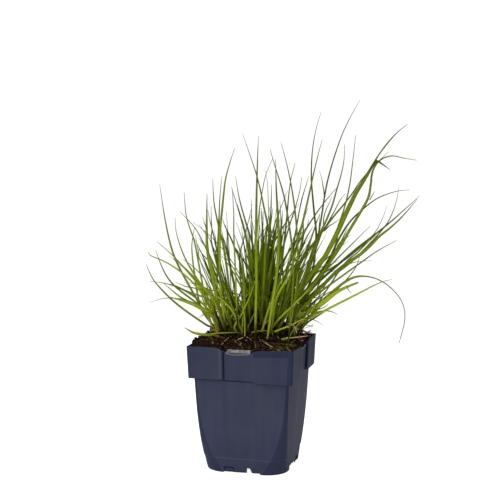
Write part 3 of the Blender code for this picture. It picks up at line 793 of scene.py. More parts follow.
ICO = (1.0 + math.sqrt(5.0)) / 2.0
CRUMB_POINTS = np.array([(-1, ICO, 0), (1, ICO, 0), (-1, -ICO, 0), (1, -ICO, 0), (0, -1, ICO), (0, 1, ICO),
                         (0, -1, -ICO), (0, 1, -ICO), (ICO, 0, -1), (ICO, 0, 1), (-ICO, 0, -1),
                         (-ICO, 0, 1)]) / math.sqrt(1.0 + ICO ** 2)
CRUMB_FACES = [[0, 11, 5], [0, 5, 1], [0, 1, 7], [0, 7, 10], [0, 10, 11], [1, 5, 9], [5, 11, 4], [11, 10, 2],
               [10, 7, 6], [7, 1, 8], [3, 9, 4], [3, 4, 2], [3, 2, 6], [3, 6, 8], [3, 8, 9], [4, 9, 5],
               [2, 4, 11], [6, 2, 10], [8, 6, 7], [9, 8, 1]]


def rotation(turn, tilt, roll):
    ct, st = math.cos(turn), math.sin(turn)
    ci, si = math.cos(tilt), math.sin(tilt)
    cr, sr = math.cos(roll), math.sin(roll)
    about_z = np.array([[ct, -st, 0], [st, ct, 0], [0, 0, 1]])
    about_x = np.array([[1, 0, 0], [0, ci, -si], [0, si, ci]])
    about_y = np.array([[cr, 0, sr], [0, 1, 0], [-sr, 0, cr]])
    return about_z @ about_x @ about_y


def crumb_places(rng):
    """Where each crumb lies, and how light it is: all over, more on the lump, and a clump of moss."""
    places = [(*rng.uniform(-50.0, 50.0, 2), 0.9 * rng.random() ** 2.2) for _ in range(CRUMB_COUNT)]
    for (x, y), count, reach, low, high in ((LUMP_PLACE, LUMP_CRUMBS, 7.0, 0.0, 0.85),
                                            (MOSS_PLACE, MOSS_CRUMBS, 8.5, 0.93, 1.0)):
        places += [(*rng.normal((x, y), reach), rng.uniform(low, high)) for _ in range(count)]
    return [(x, y, tone) for x, y, tone in places
            if max(abs(x), abs(y)) < 50.2 and not (y < -45.6 and -17.0 < x < 12.0)]


def make_crumbs():
    """Crumbs of peat and small chips of bark, strewn over the top."""
    rng = np.random.default_rng(11)
    shapes = []
    for x, y, tone in crumb_places(rng):
        size = 0.4 + 1.4 * rng.random() ** 3.0
        points = CRUMB_POINTS * (1.0 + rng.uniform(-0.35, 0.35, (12, 1)))
        points = points * (size * rng.uniform(0.6, 1.5, 3) * np.array([1.0, 1.0, 0.75]))
        turn = rotation(rng.uniform(0.0, math.tau), rng.uniform(-0.6, 0.6), rng.uniform(-0.6, 0.6))
        points = points @ turn.T + np.array([x, y, peat_top(x, y) + 0.25 * size])
        points[:, :2] = np.clip(points[:, :2], -51.6, 51.6)
        shapes.append((points, CRUMB_FACES, {"tone": np.full(12, tone)}))
    crumbs = make_object("peat_crumbs", join_shapes(shapes), crumb_material(), smooth_shading=False)
    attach(crumbs, "root")


# Grass

def from_view(across, back, up):
    """Turn a point of the view's frame into the pot's frame."""
    flat = ACROSS * across + AWAY * back
    return np.array([flat.x, flat.y, up])


def to_view(point):
    return float(np.dot(point, ACROSS)), float(np.dot(point, AWAY)), float(point[2])


EYE_VIEW = np.array(to_view(np.array(EYE)))


def at_depth(across, up, back):
    """The point at a depth that is seen where the drawing has (across, up)."""
    share = (back - EYE_VIEW[1]) / -EYE_VIEW[1]
    return from_view(EYE_VIEW[0] + (across - EYE_VIEW[0]) * share, back,
                     EYE_VIEW[2] + (up - EYE_VIEW[2]) * share)


def drawn_at(point):
    """Where a point is seen in the drawing, the upright plane through the pot's axis that faces the eye."""
    across, back, up = to_view(point)
    share = -EYE_VIEW[1] / (back - EYE_VIEW[1])
    return EYE_VIEW[0] + (across - EYE_VIEW[0]) * share, EYE_VIEW[2] + (up - EYE_VIEW[2]) * share


def fan_back(sheet, up):
    rise = max(up - FAN_FOOT, 0.0) / FAN_HEIGHT
    return FAN_BACK + sheet * (1.0 + FAN_SPREAD * rise * (1.0 + rise))


def on_peat(across, up):
    """Where the line of sight through a point of the drawing meets the peat."""
    for back in np.arange(-62.0, 64.0, 0.5):
        point = at_depth(across, up, back)
        if max(abs(point[0]), abs(point[1])) < 51.0 and point[2] < peat_top(point[0], point[1]) + 0.4:
            return point
    return at_depth(across, up, 45.0)


def solid_path(node):
    """Middle and width of each section of a blade's solid, from foot to tip, in millimetres.

    The foot is the one section that is level. Each further section is the ring of points joined to the
    one before.
    """
    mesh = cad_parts[node].data
    numbers = {}
    index = [numbers.setdefault(tuple(round(c * 1e6) for c in v.co), len(numbers)) for v in mesh.vertices]
    points = np.array(list(numbers), dtype=float) * 0.001
    joined = [set() for _ in points]
    for edge in mesh.edges:
        a, b = (index[v] for v in edge.vertices)
        joined[a].add(b)
        joined[b].add(a)
    levels = {}
    for i, point in enumerate(points):
        levels.setdefault(round(point[2], 2), []).append(i)
    ring = next(members for members in levels.values() if len(members) == 4)
    seen = set(ring)
    middles, widths = [], []
    while ring:
        corners = points[ring]
        middles.append(corners.mean(axis=0))
        spans = np.linalg.norm(corners[:, None] - corners[None], axis=2)
        widths.append(spans.max())
        following = sorted(set().union(*(joined[i] for i in ring)) - seen)
        seen.update(following)
        ring = following
    return np.array(middles), np.array(widths)


def resample(points, values, count):
    """Even steps along a smooth curve through the points, with the values carried along."""
    padded = np.vstack([2 * points[0] - points[1], points, 2 * points[-1] - points[-2]])
    fine, fine_values = [], []
    for k in range(len(points) - 1):
        a, b, c, d = padded[k:k + 4]
        for t in np.linspace(0.0, 1.0, 12, endpoint=False):
            fine.append(0.5 * (2 * b + (c - a) * t + (2 * a - 5 * b + 4 * c - d) * t * t
                               + (3 * b - a - 3 * c + d) * t ** 3))
            fine_values.append(values[k] + (values[k + 1] - values[k]) * t)
    fine.append(points[-1])
    fine_values.append(values[-1])
    fine = np.array(fine)
    lengths = np.concatenate([[0.0], np.cumsum(np.linalg.norm(np.diff(fine, axis=0), axis=1))])
    wanted = np.linspace(0.0, lengths[-1], count + 1)
    path = np.stack([np.interp(wanted, lengths, fine[:, axis]) for axis in range(3)], axis=1)
    return path, np.interp(wanted, lengths, fine_values), lengths[-1]


def blade_shape(path, widths, tone, dry, tip_tone=None, dark_to=0.0, fold=0.35, twist=0.0, turns=0.0,
                thickness=0.32, sheath=14.0):
    """A folded, slowly twisting blade along a path. twist is its angle to the view, in radians.

    Below the height dark_to it is painted with shade, in dark brown, as far as it stands upright over its
    foot.
    """
    count = len(path)
    share = np.linspace(0.0, 1.0, count)
    tones = tone + ((tone if tip_tone is None else tip_tone) - tone) * share
    steps = np.linalg.norm(np.diff(path, axis=0), axis=1)
    climb = np.concatenate([[0.0], np.cumsum(steps)])
    ahead = np.gradient(path, axis=0)
    ahead /= np.linalg.norm(ahead, axis=1, keepdims=True)
    side = np.cross(ahead, np.array(SIGHT))
    side /= np.linalg.norm(side, axis=1, keepdims=True)
    facing = np.cross(ahead, side)
    angle = (twist + turns * (share - 0.5))[:, None]
    turned = np.cos(angle) * side + np.sin(angle) * facing
    side, facing = turned, np.cos(angle) * facing - np.sin(angle) * side
    half = np.maximum(widths / 2, LEAST_HALF)
    root = np.clip(1.0 - climb / sheath, 0.0, 1.0)
    thick = thickness * (0.35 + 0.65 * np.minimum(half / max(half.max(), 1e-6), 1.0)) + root * 0.9
    depth = fold * half * (1.0 - 0.8 * root)
    u = np.cos(np.linspace(0.0, math.pi, COLUMNS))
    order = list(range(COLUMNS)) + list(range(COLUMNS - 2, 0, -1))
    face = [1.0] * COLUMNS + [-1.0] * (COLUMNS - 2)
    points, across = [], []
    for k, sign in zip(order, face):
        bulge = (1.0 - abs(u[k]) ** 1.6) * thick / 2
        away = -depth * abs(u[k]) + sign * bulge
        points.append(path + side * (half * u[k])[:, None] + facing * away[:, None])
        across.append(np.full(count, u[k]))
    points = np.stack(points, axis=1).reshape(-1, 3)
    ring = len(order)
    # painted shade on a hidden foot reaches as far as the blade stands upright over it
    upright = np.clip((BROWN_REACH - np.linalg.norm(path[:, :2] - path[0, :2], axis=1)) / 6.0, 0.0, 1.0)
    attributes = {"along": np.repeat(share, ring), "across": np.stack(across, axis=1).reshape(-1),
                  "tone": np.repeat(tones, ring), "dry": np.full(count * ring, dry),
                  "level": points[:, 2] / LEVEL_UNIT,
                  "brown": np.clip((dark_to - points[:, 2]) / DARK_FADE, 0.0, 1.0) * np.repeat(upright, ring)}
    return points, loft_faces(count, ring), attributes


def with_buried_foot(path, widths):
    """Carry a blade straight on into the peat, so that no gap shows under it."""
    below = path[0] - np.array([0.0, 0.0, BURIED])
    return np.vstack([below, path]), np.concatenate([[widths[0]], widths])


# How single blades differ from the rest: tone from deep 0 to lush 1, twist, turns, fold and dry tip. width
# gives places along the blade and the share of the solid's width there.
# dark_to is the height below which a blade's foot is painted with shade
LOOKS = {
    "drooping": {"tone": 1.0, "tip_tone": 0.0, "twist": 0.2, "turns": 0.4, "fold": 0.1,
                 "width": ((0.0, 0.9), (0.45, 0.75), (0.55, 0.38), (0.8, 0.36), (0.95, 0.8), (1.0, 2.0))},
    "broken": {"tone": 0.95, "twist": 0.1, "turns": 0.2, "fold": 0.15,
               "width": ((0.0, 1.0), (0.5, 1.3), (0.7, 1.35), (0.9, 1.5), (1.0, 4.0))},
    "kinked_broad": {"tone": 0.8, "twist": 0.15, "turns": 0.2, "fold": 0.2,
                     "width": ((0.0, 0.9), (0.6, 1.1), (0.78, 1.0), (0.82, 0.55), (0.86, 0.9), (1.0, 0.9))},
    "right_pair_2": {"tone": 0.6},
    "right_dark": {"tone": 0.1},
    "right_pair_1": {"tone": 0.15},
    "low_right_1": {"tone": 0.95, "dark_to": 138.0},
    "middle_upright": {"tone": 0.85, "tip_tone": 0.3, "dark_to": 0.0, "width": ((0.0, 0.75), (1.0, 0.85))},
    "middle_front": {"tone": 0.95, "tip_tone": 0.3, "dark_to": 0.0,
                     "width": ((0.0, 1.0), (0.5, 0.85), (1.0, 0.85))},
    "low_over_rim": {"tone": 0.75, "dark_to": 0.0, "fold": 0.15, "twist": 0.1,
                     "width": ((0.0, 1.5), (0.7, 1.7), (1.0, 1.2))},
    "left_arc_1": {"tone": 0.4},
    "left_arc_2": {"tone": 0.3},
    "left_tall": {"tone": 0.4},
    "low_left_2": {"tone": 0.75, "dark_to": 143.0},
    "left_pale": {"tone": 0.65, "dark_to": 143.0},
    "left_broad": {"tone": 0.7},
    "middle_cross_1": {"tone": 0.25},
    "middle_cross_2": {"tone": 0.45, "dark_to": 152.0, "width": ((0.0, 0.5), (0.3, 0.75), (1.0, 1.0))},
    "middle_cross_3": {"tone": 0.7, "dark_to": 152.0, "width": ((0.0, 0.6), (0.3, 0.85), (1.0, 1.0))},
    "middle_short_1": {"tone": 0.5, "dark_to": 168.0},
    "middle_thin_1": {"tone": 0.3, "dark_to": 166.0},
    "middle_thin_2": {"tone": 0.8, "dry": 1.0, "dark_to": 174.0},
    "kinked_arc": {"tone": 0.75},
    "right_tallest": {"tone": 0.3, "width": ((0.0, 0.7), (1.0, 0.8))},
}


def dress_blade(middles, widths, look, material, name):
    length = np.linalg.norm(np.diff(middles, axis=0), axis=1).sum()
    path, broad, _ = resample(middles, widths, int(length / SECTION_SPACING) + 4)
    piece = make_object(name, blade_shape(path, broad, **look), material)
    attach(piece, "root")
    return piece


def main_blades(material):
    """Each blade of the solids, dressed. Returns their paths for the smaller blades to spring from."""
    rng = random.Random(3)
    paths = {}
    for node in sorted(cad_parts):
        if not node.startswith("blade_"):
            continue
        name = node[len("blade_"):]
        middles, widths = solid_path(node)
        paths[name] = middles
        look = {"tone": rng.uniform(0.15, 1.0), "dry": rng.uniform(0.2, 1.0), "fold": rng.uniform(0.2, 0.6),
                "twist": rng.uniform(-0.45, 0.45), "turns": rng.uniform(-0.8, 0.8),
                "dark_to": rng.uniform(*DARK_FEET)}
        look.update(LOOKS.get(name, {}))
        shares = look.pop("width", ((0.0, 1.0), (1.0, 1.0)))
        widths = widths * SLIM * np.array([between(shares, t) for t in np.linspace(0.0, 1.0, len(widths))])
        middles, widths = with_buried_foot(middles, widths)
        piece = dress_blade(middles, widths, look, material, f"leaf_{name}")
        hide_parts(node)
    return paths


# Thinner blades as they are drawn: where each starts, its width, its tone and its points from the foot to the
# tip. "deep" starts hide their foot in the tuft, "soil" and "front" starts stand on the peat and lean away
# from the eye or towards it, "flat" ones lie on it, those with a number lie at that depth, and the others
# spring from a blade of that name.
THIN_BLADES = (
    ("deep", 1.2, 0.2, ((-39, 228), (-40.5, 236), (-43, 246), (-45.5, 256), (-47.3, 266))),
    ("deep", 1.1, 0.6, ((-42, 226), (-43, 245), (-43.6, 255), (-43.8, 270))),
    ("deep", 1.4, 0.1, ((-41.8, 223), (-44, 231), (-47.2, 240))),
    ("left_broad", 0.9, 0.8, ((-48.5, 246), (-50.5, 251), (-53, 259))),
    ("left_broad", 0.9, 0.8, ((-48.2, 238), (-50.5, 242.5), (-57, 251.5))),
    ("deep", 1.6, 0.5, ((-46, 215), (-49.5, 226), (-52, 230), (-57.3, 237.5))),
    ("deep", 1.5, 0.1, ((-43, 208), (-48, 214), (-54, 221), (-58, 226))),
    ("deep", 1.5, 0.3, ((-45, 196), (-49, 205), (-52, 213), (-57, 222))),
    ("deep", 1.3, 0.3, ((-44, 190), (-49, 201), (-54, 211))),
    ("deep", 1.5, 0.1, ((-14, 212), (-18, 222), (-21.5, 232), (-27, 244), (-30, 250), (-32, 257))),
    ("deep", 1.4, 0.3, ((-26, 220), (-27, 240), (-29, 250))),
    ("deep", 1.4, 0.3, ((-29, 228), (-31, 235), (-33, 245))),
    ("deep", 1.3, 0.3, ((-38, 215), (-38.5, 225), (-39, 235), (-41, 245))),
    ("deep", 1.2, 0.4, ((-50, 192), (-56, 200), (-61, 205), (-68, 211), (-75, 215))),
    ("deep", 0.9, 0.5, ((-55, 212), (-57, 222), (-58.5, 228), (-60, 240))),
    ("deep", 1.0, 0.5, ((-50, 178), (-60, 184), (-70, 186), (-75, 188), (-82, 191))),
    ("deep", 1.2, 0.5, ((-45, 180), (-50, 184), (-60, 189), (-68, 190))),
    ("deep", 1.2, 0.9, ((14.5, 225), (16, 250), (15.3, 265), (14.5, 287), (13.9, 297), (11.3, 308))),
    ("deep", 1.7, 0.1, ((10.2, 228), (10, 236), (9.5, 246), (9, 252), (8.3, 262), (7.8, 268))),
    ("deep", 1.0, 0.1, ((5.5, 233.5), (7, 237), (10, 243.5), (11.5, 246), (13.5, 250))),
    ("deep", 3.2, 0.5, ((11, 190), (12, 215), (13, 235), (14.5, 248))),
    ("deep", 1.2, 0.4, ((21, 228), (20, 235), (18, 245), (17.3, 252))),
    ("deep", 1.1, 0.1, ((13, 226), (16, 229.5), (19, 234), (20.5, 237), (24, 242))),
    ("deep", 1.7, 0.4, ((27, 215), (28, 240), (28.5, 250), (28, 262), (27, 275))),
    ("deep", 1.2, 0.3, ((27, 225), (28.5, 240), (29.5, 255), (30, 266))),
    ("deep", 1.3, 0.3, ((27, 218), (30, 236), (31, 245), (33, 253))),
    ("deep", 1.4, 0.4, ((38, 215), (40.5, 228), (42.5, 235), (44, 245))),
    ("deep", 1.4, 0.2, ((41, 228), (44, 243), (45.7, 256), (48.3, 268))),
    ("deep", 1.3, 0.6, ((49, 230), (51, 245), (51.5, 252), (51.5, 262))),
    ("deep", 1.5, 0.3, ((47, 218), (50.5, 230), (52, 240), (55.5, 248), (57, 257))),
    ("deep", 1.6, 0.0, ((46, 215), (51, 228), (54, 236), (58, 243), (61.5, 249))),
    ("deep", 1.6, 0.4, ((49, 210), (54, 222), (57, 231), (61, 240), (64, 250))),
    ("deep", 1.3, 0.5, ((58, 230), (62, 243), (66, 255), (68.5, 262))),
    ("deep", 4.6, 0.1, ((34, 170), (44, 200), (54, 219), (62, 232))),
    ("deep", 1.2, 0.4, ((44, 245), (47, 262), (50.3, 278), (52, 284), (55, 293.5), (56.8, 301))),
    ("right_tallest", 0.8, 0.6, ((73, 279), (72.5, 286), (71.5, 291), (70.5, 297), (67.9, 306))),
    ("deep", 1.6, 0.1, ((14, 218), (15, 232), (15.5, 238), (16.3, 244), (17.5, 250), (19, 260), (20, 268))),
    ("deep", 1.5, 0.2, ((21, 215), (19, 225), (17, 232), (16, 240), (14.5, 248), (13, 256), (11.5, 262))),
    ("deep", 1.8, 1.0, ((14, 190), (14.7, 210), (15, 220), (15.5, 228))),
    ("deep", 1.2, 0.3, ((-6, 190), (-7.5, 210), (-9.4, 227), (-10.5, 235), (-11.3, 240), (-12.6, 249))),
    ("deep", 2.6, 1.0, ((0.3, 180), (0, 205), (-0.3, 226))),
    ("deep", 1.1, 0.2, ((64, 232), (68, 240), (74, 248), (81.5, 261), (86.5, 270.5), (90, 277), (95, 283))),
    ("deep", 1.1, 0.4, ((70, 240), (72, 250), (73.5, 262), (76.5, 269), (79.5, 276), (81, 280))),
    ("deep", 1.2, 0.1, ((64, 234), (71, 242), (77, 248.5), (80, 250), (84, 252.7), (89.5, 257))),
    ("deep", 1.4, 0.4, ((76, 212), (84, 228), (88, 243), (90, 251), (92, 258))),
    ("deep", 1.2, 0.3, ((80, 215), (88, 228), (93, 238), (95.5, 244), (97, 247))),
    ("deep", 0.8, 0.5, ((86, 226), (92, 232), (96, 237), (98, 239), (101, 240))),
    ("kinked_arc", 0.8, 0.3, ((120, 276), (122, 280), (125, 285))),
    ("kinked_broad", 2.2, 0.0, ((121, 309), (127, 316), (131, 314), (141, 307))),
    ("deep", 0.9, 0.3, ((80, 196), (95, 207), (103, 211), (114, 212.5), (123, 213.5))),
    ("broken", 0.8, 0.6, ((64, 161), (72, 163.5), (76, 166), (78, 168))),
    ("broken", 0.7, 0.5, ((97, 186), (99, 182), (102, 179))),
    ("deep", 1.3, 0.2, ((90, 204), (105, 219), (112, 226), (119, 233), (126, 239.5), (134, 248))),
    ("deep", 1.3, 0.1, ((65, 225), (67, 235), (68, 250), (68.5, 262))),
    ("deep", 1.5, 0.1, ((50, 158), (60, 168), (70, 177), (77, 184))),
    ("deep", 1.0, 0.3, ((60, 166), (66, 172), (72, 176), (80, 181), (84, 181.5))),
    ("soil", 2.2, 0.8, ((36, 132), (42, 141), (50, 150), (55, 152))),
    ("soil", 2.0, 0.2, ((50, 143), (57, 149), (65, 154), (75, 160))),
    ("soil", 1.0, 1.0, ((45, 150), (50, 157), (55, 167), (58, 175))),
    ("soil", 3.4, 0.6, ((44, 142), (55, 151), (68, 164), (82, 180))),
    ("soil", 1.6, 0.8, ((-40, 140), (-46, 150), (-52, 170), (-55, 182))),
    ("soil", 1.6, 0.9, ((-37, 139), (-40, 145), (-45, 160), (-51, 174))),
    ("soil", 1.4, 1.0, ((-34, 139), (-36, 140), (-40, 150), (-47, 163))),
    ("front", 3.2, 1.0, ((-22, 138), (-25, 148), (-30, 165), (-33, 178))),
    ("soil", 1.0, 1.0, ((-8, 136), (-17, 146), (-22, 153))),
    ("soil", 1.6, 0.9, ((-12, 138), (-11, 160), (-10, 176), (-8, 190))),
    ("front", 1.5, 1.0, ((-9, 134), (-9, 150), (-10.5, 162), (-13, 172))),
    ("soil", 2.0, 0.8, ((20, 135), (21, 150), (24, 175), (29, 200))),
    ("soil", 1.8, 0.7, ((31, 139), (36, 152), (43, 170), (52, 188))),
    ("front", 2.4, 0.9, ((-11, 139), (-17, 151), (-21.5, 160), (-29, 169), (-39, 176.5), (-46.7, 181))),
    ("front", 3.0, 0.95, ((17, 139), (26, 151), (38, 163), (50, 175), (60, 184))),
    ("front", 2.6, 0.8, ((24, 139), (30, 148), (37.5, 158.7), (45, 169), (54, 179.5), (63, 188.5))),
    ("front", 3.2, 0.2, ((11.4, 139), (8.8, 153.3), (5.7, 164.8), (0, 182), (-5, 202), (-9, 222))),
    ("front", 2.0, 0.95, ((-35.2, 139), (-38, 153.3), (-41.6, 167), (-47.3, 183.6), (-53, 200))),
    ("front", 1.8, 0.9, ((-38, 142), (-43.5, 157.9), (-50.4, 172.1), (-57, 186), (-66, 200))),
    ("front", 1.8, 0.5, ((-9, 137), (-3, 149), (2, 160), (9, 178))),
    ("front", 1.5, 0.1, ((-13, 139), (-18, 150), (-24, 162), (-29, 178))),
    ("soil", 2.8, 0.8, ((45, 150), (53, 163), (62, 175), (70.6, 187))),
    ("front", 3.6, 0.85, ((16.5, 137), (19.3, 151), (21.6, 167.6), (26, 179.5), (35, 194.4), (44, 207.8))),
    ("soil", 1.8, 1.0, ((-35, 140), (-42, 160), (-50, 175), (-57, 190), (-66, 208))),
    ("front", 2.2, 0.2, ((-4, 138), (-12, 158), (-22, 176), (-31, 196))),
    ("deep", 2.0, 0.7, ((-20, 142), (-12, 158), (-3, 178), (4, 200))),
    ("front", 2.4, 0.15, ((26, 137), (19, 158), (10, 180), (4, 196))),
    ("front", 2.4, 0.9, ((8, 139), (15, 160), (24, 182), (33, 200))),
    (-13.0, 1.5, 0.6, ((-46, 136.2), (-38, 137.2), (-28, 137.6), (-14, 138))),
    ("flat", 1.2, 1.0, ((2, 136.5), (8, 137.5), (13, 138))),
    (-8.0, 2.2, 0.6, ((29, 130.5), (34, 131.5), (38, 132.2), (42, 132.8))),
    (-9.0, 1.8, 1.0, ((22, 138.5), (31, 142.5), (38, 145), (45, 149), (51, 152), (57, 154.5))),
    ("flat", 1.6, 0.9, ((-2, 136), (5, 137.5), (14, 138), (25, 139))),
)


LEANS = {"soil": 0.12, "front": -0.3}   # how far back for each millimetre up


def foot_under(across, up, sheet):
    """A hidden foot for a blade that is first seen at (across, up)."""
    point = from_view(min(max(0.5 * across + 2.0, -36.0), 42.0), FAN_BACK + 0.9 * sheet, 0.0)
    point[:2] = np.clip(point[:2], -45.0, 45.0)
    point[2] = peat_top(point[0], point[1]) - 2.0
    return point


def traced_path(start, drawn, sheet, paths):
    if start == "flat":
        return np.array([on_peat(across, up) + np.array([0.0, 0.0, 1.6]) for across, up in drawn])
    if isinstance(start, float):
        return np.array([at_depth(across, up, start) for across, up in drawn])
    if start == "deep":
        points = [at_depth(across, up, fan_back(sheet, up)) for across, up in drawn]
        return np.array([foot_under(*drawn[0], sheet), *points])
    if start in LEANS:
        foot = on_peat(*drawn[0])
        back = to_view(foot)[1]
        points = [at_depth(across, up, back + LEANS[start] * (up - drawn[0][1])) for across, up in drawn[1:]]
        return np.array([foot - np.array([0.0, 0.0, 1.5]), *points])
    parent = paths[start]
    places = np.array([drawn_at(point) for point in parent])
    nearest = np.argmin(np.linalg.norm(places - np.array(drawn[0]), axis=1))
    back = to_view(parent[nearest])[1]
    return np.array([at_depth(across, up, back - 0.3) for across, up in drawn])


def tapered(width, count, start=0.35):
    share = np.linspace(0.0, 1.0, count)
    return width * (1.0 - np.clip((share - start) / (1.0 - start), 0.0, 1.0) ** 1.6) + 0.35


def thin_blade(points, width, tone, dark_to, rng, spread=0.7):
    path, broad, length = resample(points, tapered(width, len(points)), 40)
    path, broad, _ = resample(path[::2], broad[::2], int(length / SECTION_SPACING) + 3)
    return blade_shape(path, broad, tone=tone, dry=rng.random(), dark_to=dark_to, fold=rng.uniform(0.2, 0.6),
                       twist=rng.uniform(-spread, spread), turns=rng.uniform(-1.0, 1.0), thickness=0.28)


def tiller_paths(rng, right, front, rear, spread, shortest, longest):
    """The blades of one tiller: they share a foot somewhere in the tuft and spread from it."""
    foot = float(np.clip(rng.normal(1.0, 20.0), -36.0, right))
    sheet = rng.uniform(front, rear)
    middle_lean = 0.0125 * (foot - 2.0) + rng.normal(0.0, spread / 2)
    paths = []
    for _ in range(rng.integers(2, 6)):
        lean = middle_lean + rng.normal(0.0, spread)
        length = shortest + (longest - shortest) * rng.beta(1.8, 2.0)
        bow = rng.uniform(0.5, 1.5)
        across = foot + rng.normal(0.0, 0.8)
        up = peat_top(*from_view(across, FAN_BACK + sheet, 0.0)[:2])
        points = []
        for t in np.linspace(0.0, 1.0, 9):
            points.append(from_view(across, fan_back(sheet, up), up))
            angle = lean * (0.4 + bow * t)
            across += length / 8 * math.sin(angle)
            up += length / 8 * math.cos(angle)
        points = np.array(points)
        points[:, :2] = np.clip(points[:, :2], np.array([-118.0, -56.0]), np.array([150.0, 112.0]))
        points[0, :2] = np.clip(points[0, :2], -45.0, 45.0)
        points[0, 2] = peat_top(points[0, 0], points[0, 1]) - 2.0
        paths.append(points)
    return paths


# Tillers, tall ones at the back and young ones further forward: their number, how far to the right and
# between which front and rear they stand, how much they spread, and their shortest and longest blade
TILLERS = ((44, 36.0, -2.0, 24.0, 0.28, 34.0, 138.0), (22, 24.0, -12.0, 8.0, 0.7, 24.0, 70.0))
GROUPS = (("fine_blades_left", -18.0), ("fine_blades_middle", 28.0), ("fine_blades_right", math.inf))


def fine_blades(material, paths):
    """The thinner blades, traced and filled in, in three groups from left to right."""
    rng = np.random.default_rng(5)
    blades = []
    for start, width, tone, drawn in THIN_BLADES:
        points = traced_path(start, drawn, rng.uniform(-22.0, 22.0), paths)
        # only blades whose foot hides in the tuft get painted shade at the foot
        blades.append((points, width, tone, rng.uniform(*DARK_FEET) if start == "deep" else 0.0))
    for count, *habit in TILLERS:
        for _ in range(count):
            blades += [(points, rng.uniform(0.8, 2.4), rng.beta(0.5, 0.6), rng.uniform(*TILLER_FEET))
                       for points in tiller_paths(rng, *habit)]
    shapes = {name: [] for name, _ in GROUPS}
    for points, width, tone, dark_to in blades:
        place = to_view(points[-1])[0]
        name = next(name for name, edge in GROUPS if place < edge)
        shapes[name].append(thin_blade(points, width, tone, dark_to, rng))
    for name, members in shapes.items():
        piece = make_object(name, join_shapes(members), material)
        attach(piece, "root")


# Litter

# Dead straws and sheaths as they are drawn: width, tone and points
STRAWS = (
    (0.9, 0.6, ((23.5, 134), (25, 132.5), (26.5, 130.5))),
    (0.8, 0.7, ((21, 140), (22.5, 140), (24, 139.5))),
    (1.1, 0.8, ((8, 129), (14, 124.5), (20, 121))),
    (1.1, 0.7, ((-33, 124), (-30, 128), (-26, 132))),
    (1.1, 0.9, ((-19, 127.5), (-15, 130), (-11, 132))),
    (1.0, 0.8, ((-7, 132), (-4, 130), (-2, 128))),
    (1.2, 0.3, ((1.5, 128), (2, 124), (3, 120))),
    (1.0, 0.6, ((40, 146), (43, 140), (43, 135))),
    (1.7, 0.9, ((44, 139), (50, 137), (57, 134))),
    (1.5, 1.0, ((45, 136), (52, 138), (58, 137))),
    (1.6, 0.9, ((46, 140.5), (52, 139), (56, 136))),
    (1.5, 1.0, ((48, 134), (54, 136), (60, 139))),
    (1.5, 0.8, ((50, 141), (55, 138), (61, 137))),
    (0.8, 1.0, ((46, 140), (54, 141.5), (63, 145))),
    (0.8, 1.0, ((48, 142), (56, 144.5), (62, 143))),
)
# Those that lie on others or lean on the stems, with their depth first
RAISED_STRAWS = (
    (-8.0, 1.5, 0.9, ((34, 132), (41, 132.6), (48, 133.4), (57, 134.4))),
    (-7.0, 0.8, 1.0, ((36, 147), (41, 146), (44, 142), (45, 137))),
    (-6.0, 0.8, 0.9, ((34, 144), (39, 142.5), (43, 143.5), (47, 141))),
    (-12.0, 0.7, 0.9, ((11, 146), (14, 149), (17, 151.5))),
    (-3.0, 1.0, 0.7, ((-46, 139), (-41, 141), (-37, 138.5))),
    (-4.0, 1.0, 0.6, ((-44, 142), (-40, 139.5), (-36, 137.5))),
)
STRAW_COUNT = 60


def strewn_straw(rng):
    x, y = rng.uniform(-44.0, 46.0, 2)
    bearing = rng.uniform(0.0, math.tau)
    length = rng.uniform(4.0, 18.0)
    curve = rng.uniform(-1.2, 1.2)
    lift = rng.uniform(0.2, 3.5)
    points = []
    for t in np.linspace(0.0, 1.0, 7):
        points.append((x, y, peat_top(x, y) + 0.4 + lift * math.sin(math.pi * min(t * 1.3, 1.0)) * t))
        x = min(max(x + math.cos(bearing + curve * t) * length / 6, -49.0), 49.0)
        y = min(max(y + math.sin(bearing + curve * t) * length / 6, -49.0), 49.0)
    return np.array(points)


def make_straws():
    """Dead straws, root threads and sheath scraps lying on the peat."""
    rng = np.random.default_rng(21)
    straws = [(strewn_straw(rng), rng.uniform(0.35, 0.8), 0.7 * rng.random()) for _ in range(STRAW_COUNT)]
    for width, tone, drawn in STRAWS:
        points = np.array([on_peat(*point) for point in drawn]) + np.array([0.0, 0.0, 0.9])
        straws.append((points, width, tone))
    for back, width, tone, drawn in RAISED_STRAWS:
        straws.append((np.array([at_depth(across, up, back) for across, up in drawn]), width, tone))
    shapes = []
    for points, width, tone in straws:
        path, broad, _ = resample(points, np.full(len(points), width), 14)
        shapes.append(blade_shape(path, broad, tone=tone, dry=1.0, fold=0.5, twist=rng.uniform(-1.2, 1.2),
                                  turns=rng.uniform(-2.0, 2.0), sheath=0.01))
    straws = make_object("dry_straws", join_shapes(shapes), straw_material())
    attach(straws, "root")


# Stage

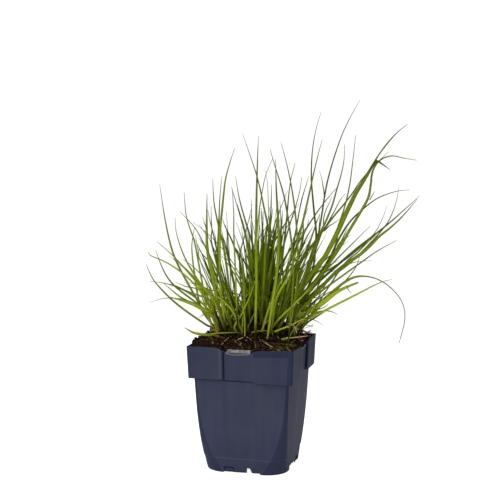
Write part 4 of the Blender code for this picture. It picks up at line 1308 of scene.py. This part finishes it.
def make_stage():
    """A round white table that glows, so that it looks white all over."""
    material, _, shader = new_material("white_table", (0.5, 0.5, 0.5), 0.8, 0.0)
    shader.inputs["Emission Color"].default_value = (1.0, 1.0, 1.0, 1.0)
    shader.inputs["Emission Strength"].default_value = TABLE_GLOW
    bpy.ops.mesh.primitive_circle_add(vertices=96, radius=TABLE_RADIUS, fill_type="NGON",
                                      location=(0.0, 0.0, -0.0001))
    floor = bpy.context.object
    floor.name = "floor"
    floor.data.materials.append(material)


def put_in_place(data, place, direction):
    """A lamp or camera at a place in metres, looking in a direction."""
    obj = bpy.data.objects.new(data.name, data)
    obj.location = place
    obj.rotation_euler = direction.to_track_quat("-Z", "Y").to_euler()
    bpy.context.scene.collection.objects.link(obj)
    return obj


def add_light(name, place, aim, size, power):
    data = bpy.data.lights.new(name, "AREA")
    data.shape = "DISK"
    data.size = size
    data.energy = power
    put_in_place(data, place, Vector(aim) - Vector(place))


def make_lights():
    """A studio with a white wall behind, brighter on the left than on the right, and two large soft lamps."""
    world = bpy.data.worlds.new("studio")
    world.use_nodes = True
    tree = world.node_tree
    direction = add_node(tree, "TexCoord").outputs["Generated"]
    shares = []
    for axis, *steps in ((ACROSS, -0.7, 0.6, *SIDE_LIGHT), (AWAY, 0.80, 0.93, 0.0, 1.0)):
        toward = add_node(tree, "VectorMath", operation="DOT_PRODUCT")
        tree.links.new(direction, toward.inputs[0])
        toward.inputs[1].default_value = axis
        shares.append(scaled(tree, toward.outputs["Value"], *steps))
    side, wall = shares
    background = tree.nodes["Background"]
    plug(tree, calculate(tree, "MAXIMUM", side, calculate(tree, "MULTIPLY", wall, WALL_LIGHT)),
         background.inputs["Strength"])
    plug(tree, (1.0, 1.0, 1.0), background.inputs["Color"])
    bpy.context.scene.world = world
    add_light("key", (-0.6, -1.6, 1.5), (0.0, 0.0, 0.2), 1.4, KEY_POWER)
    add_light("overhead", (0.0, 0.3, 2.2), (0.0, 0.0, 0.1), 1.6, OVERHEAD_POWER)


def make_camera():
    data = bpy.data.cameras.new("camera")
    data.lens = LENS
    data.sensor_width = 36.0
    bpy.context.scene.camera = put_in_place(data, EYE * MM, SIGHT)
    bpy.context.scene.view_settings.view_transform = "Standard"


make_pot()
make_peat()
make_crumbs()
GRASS = grass_material()
fine_blades(GRASS, main_blades(GRASS))
make_straws()
make_stage()
make_lights()
make_camera()
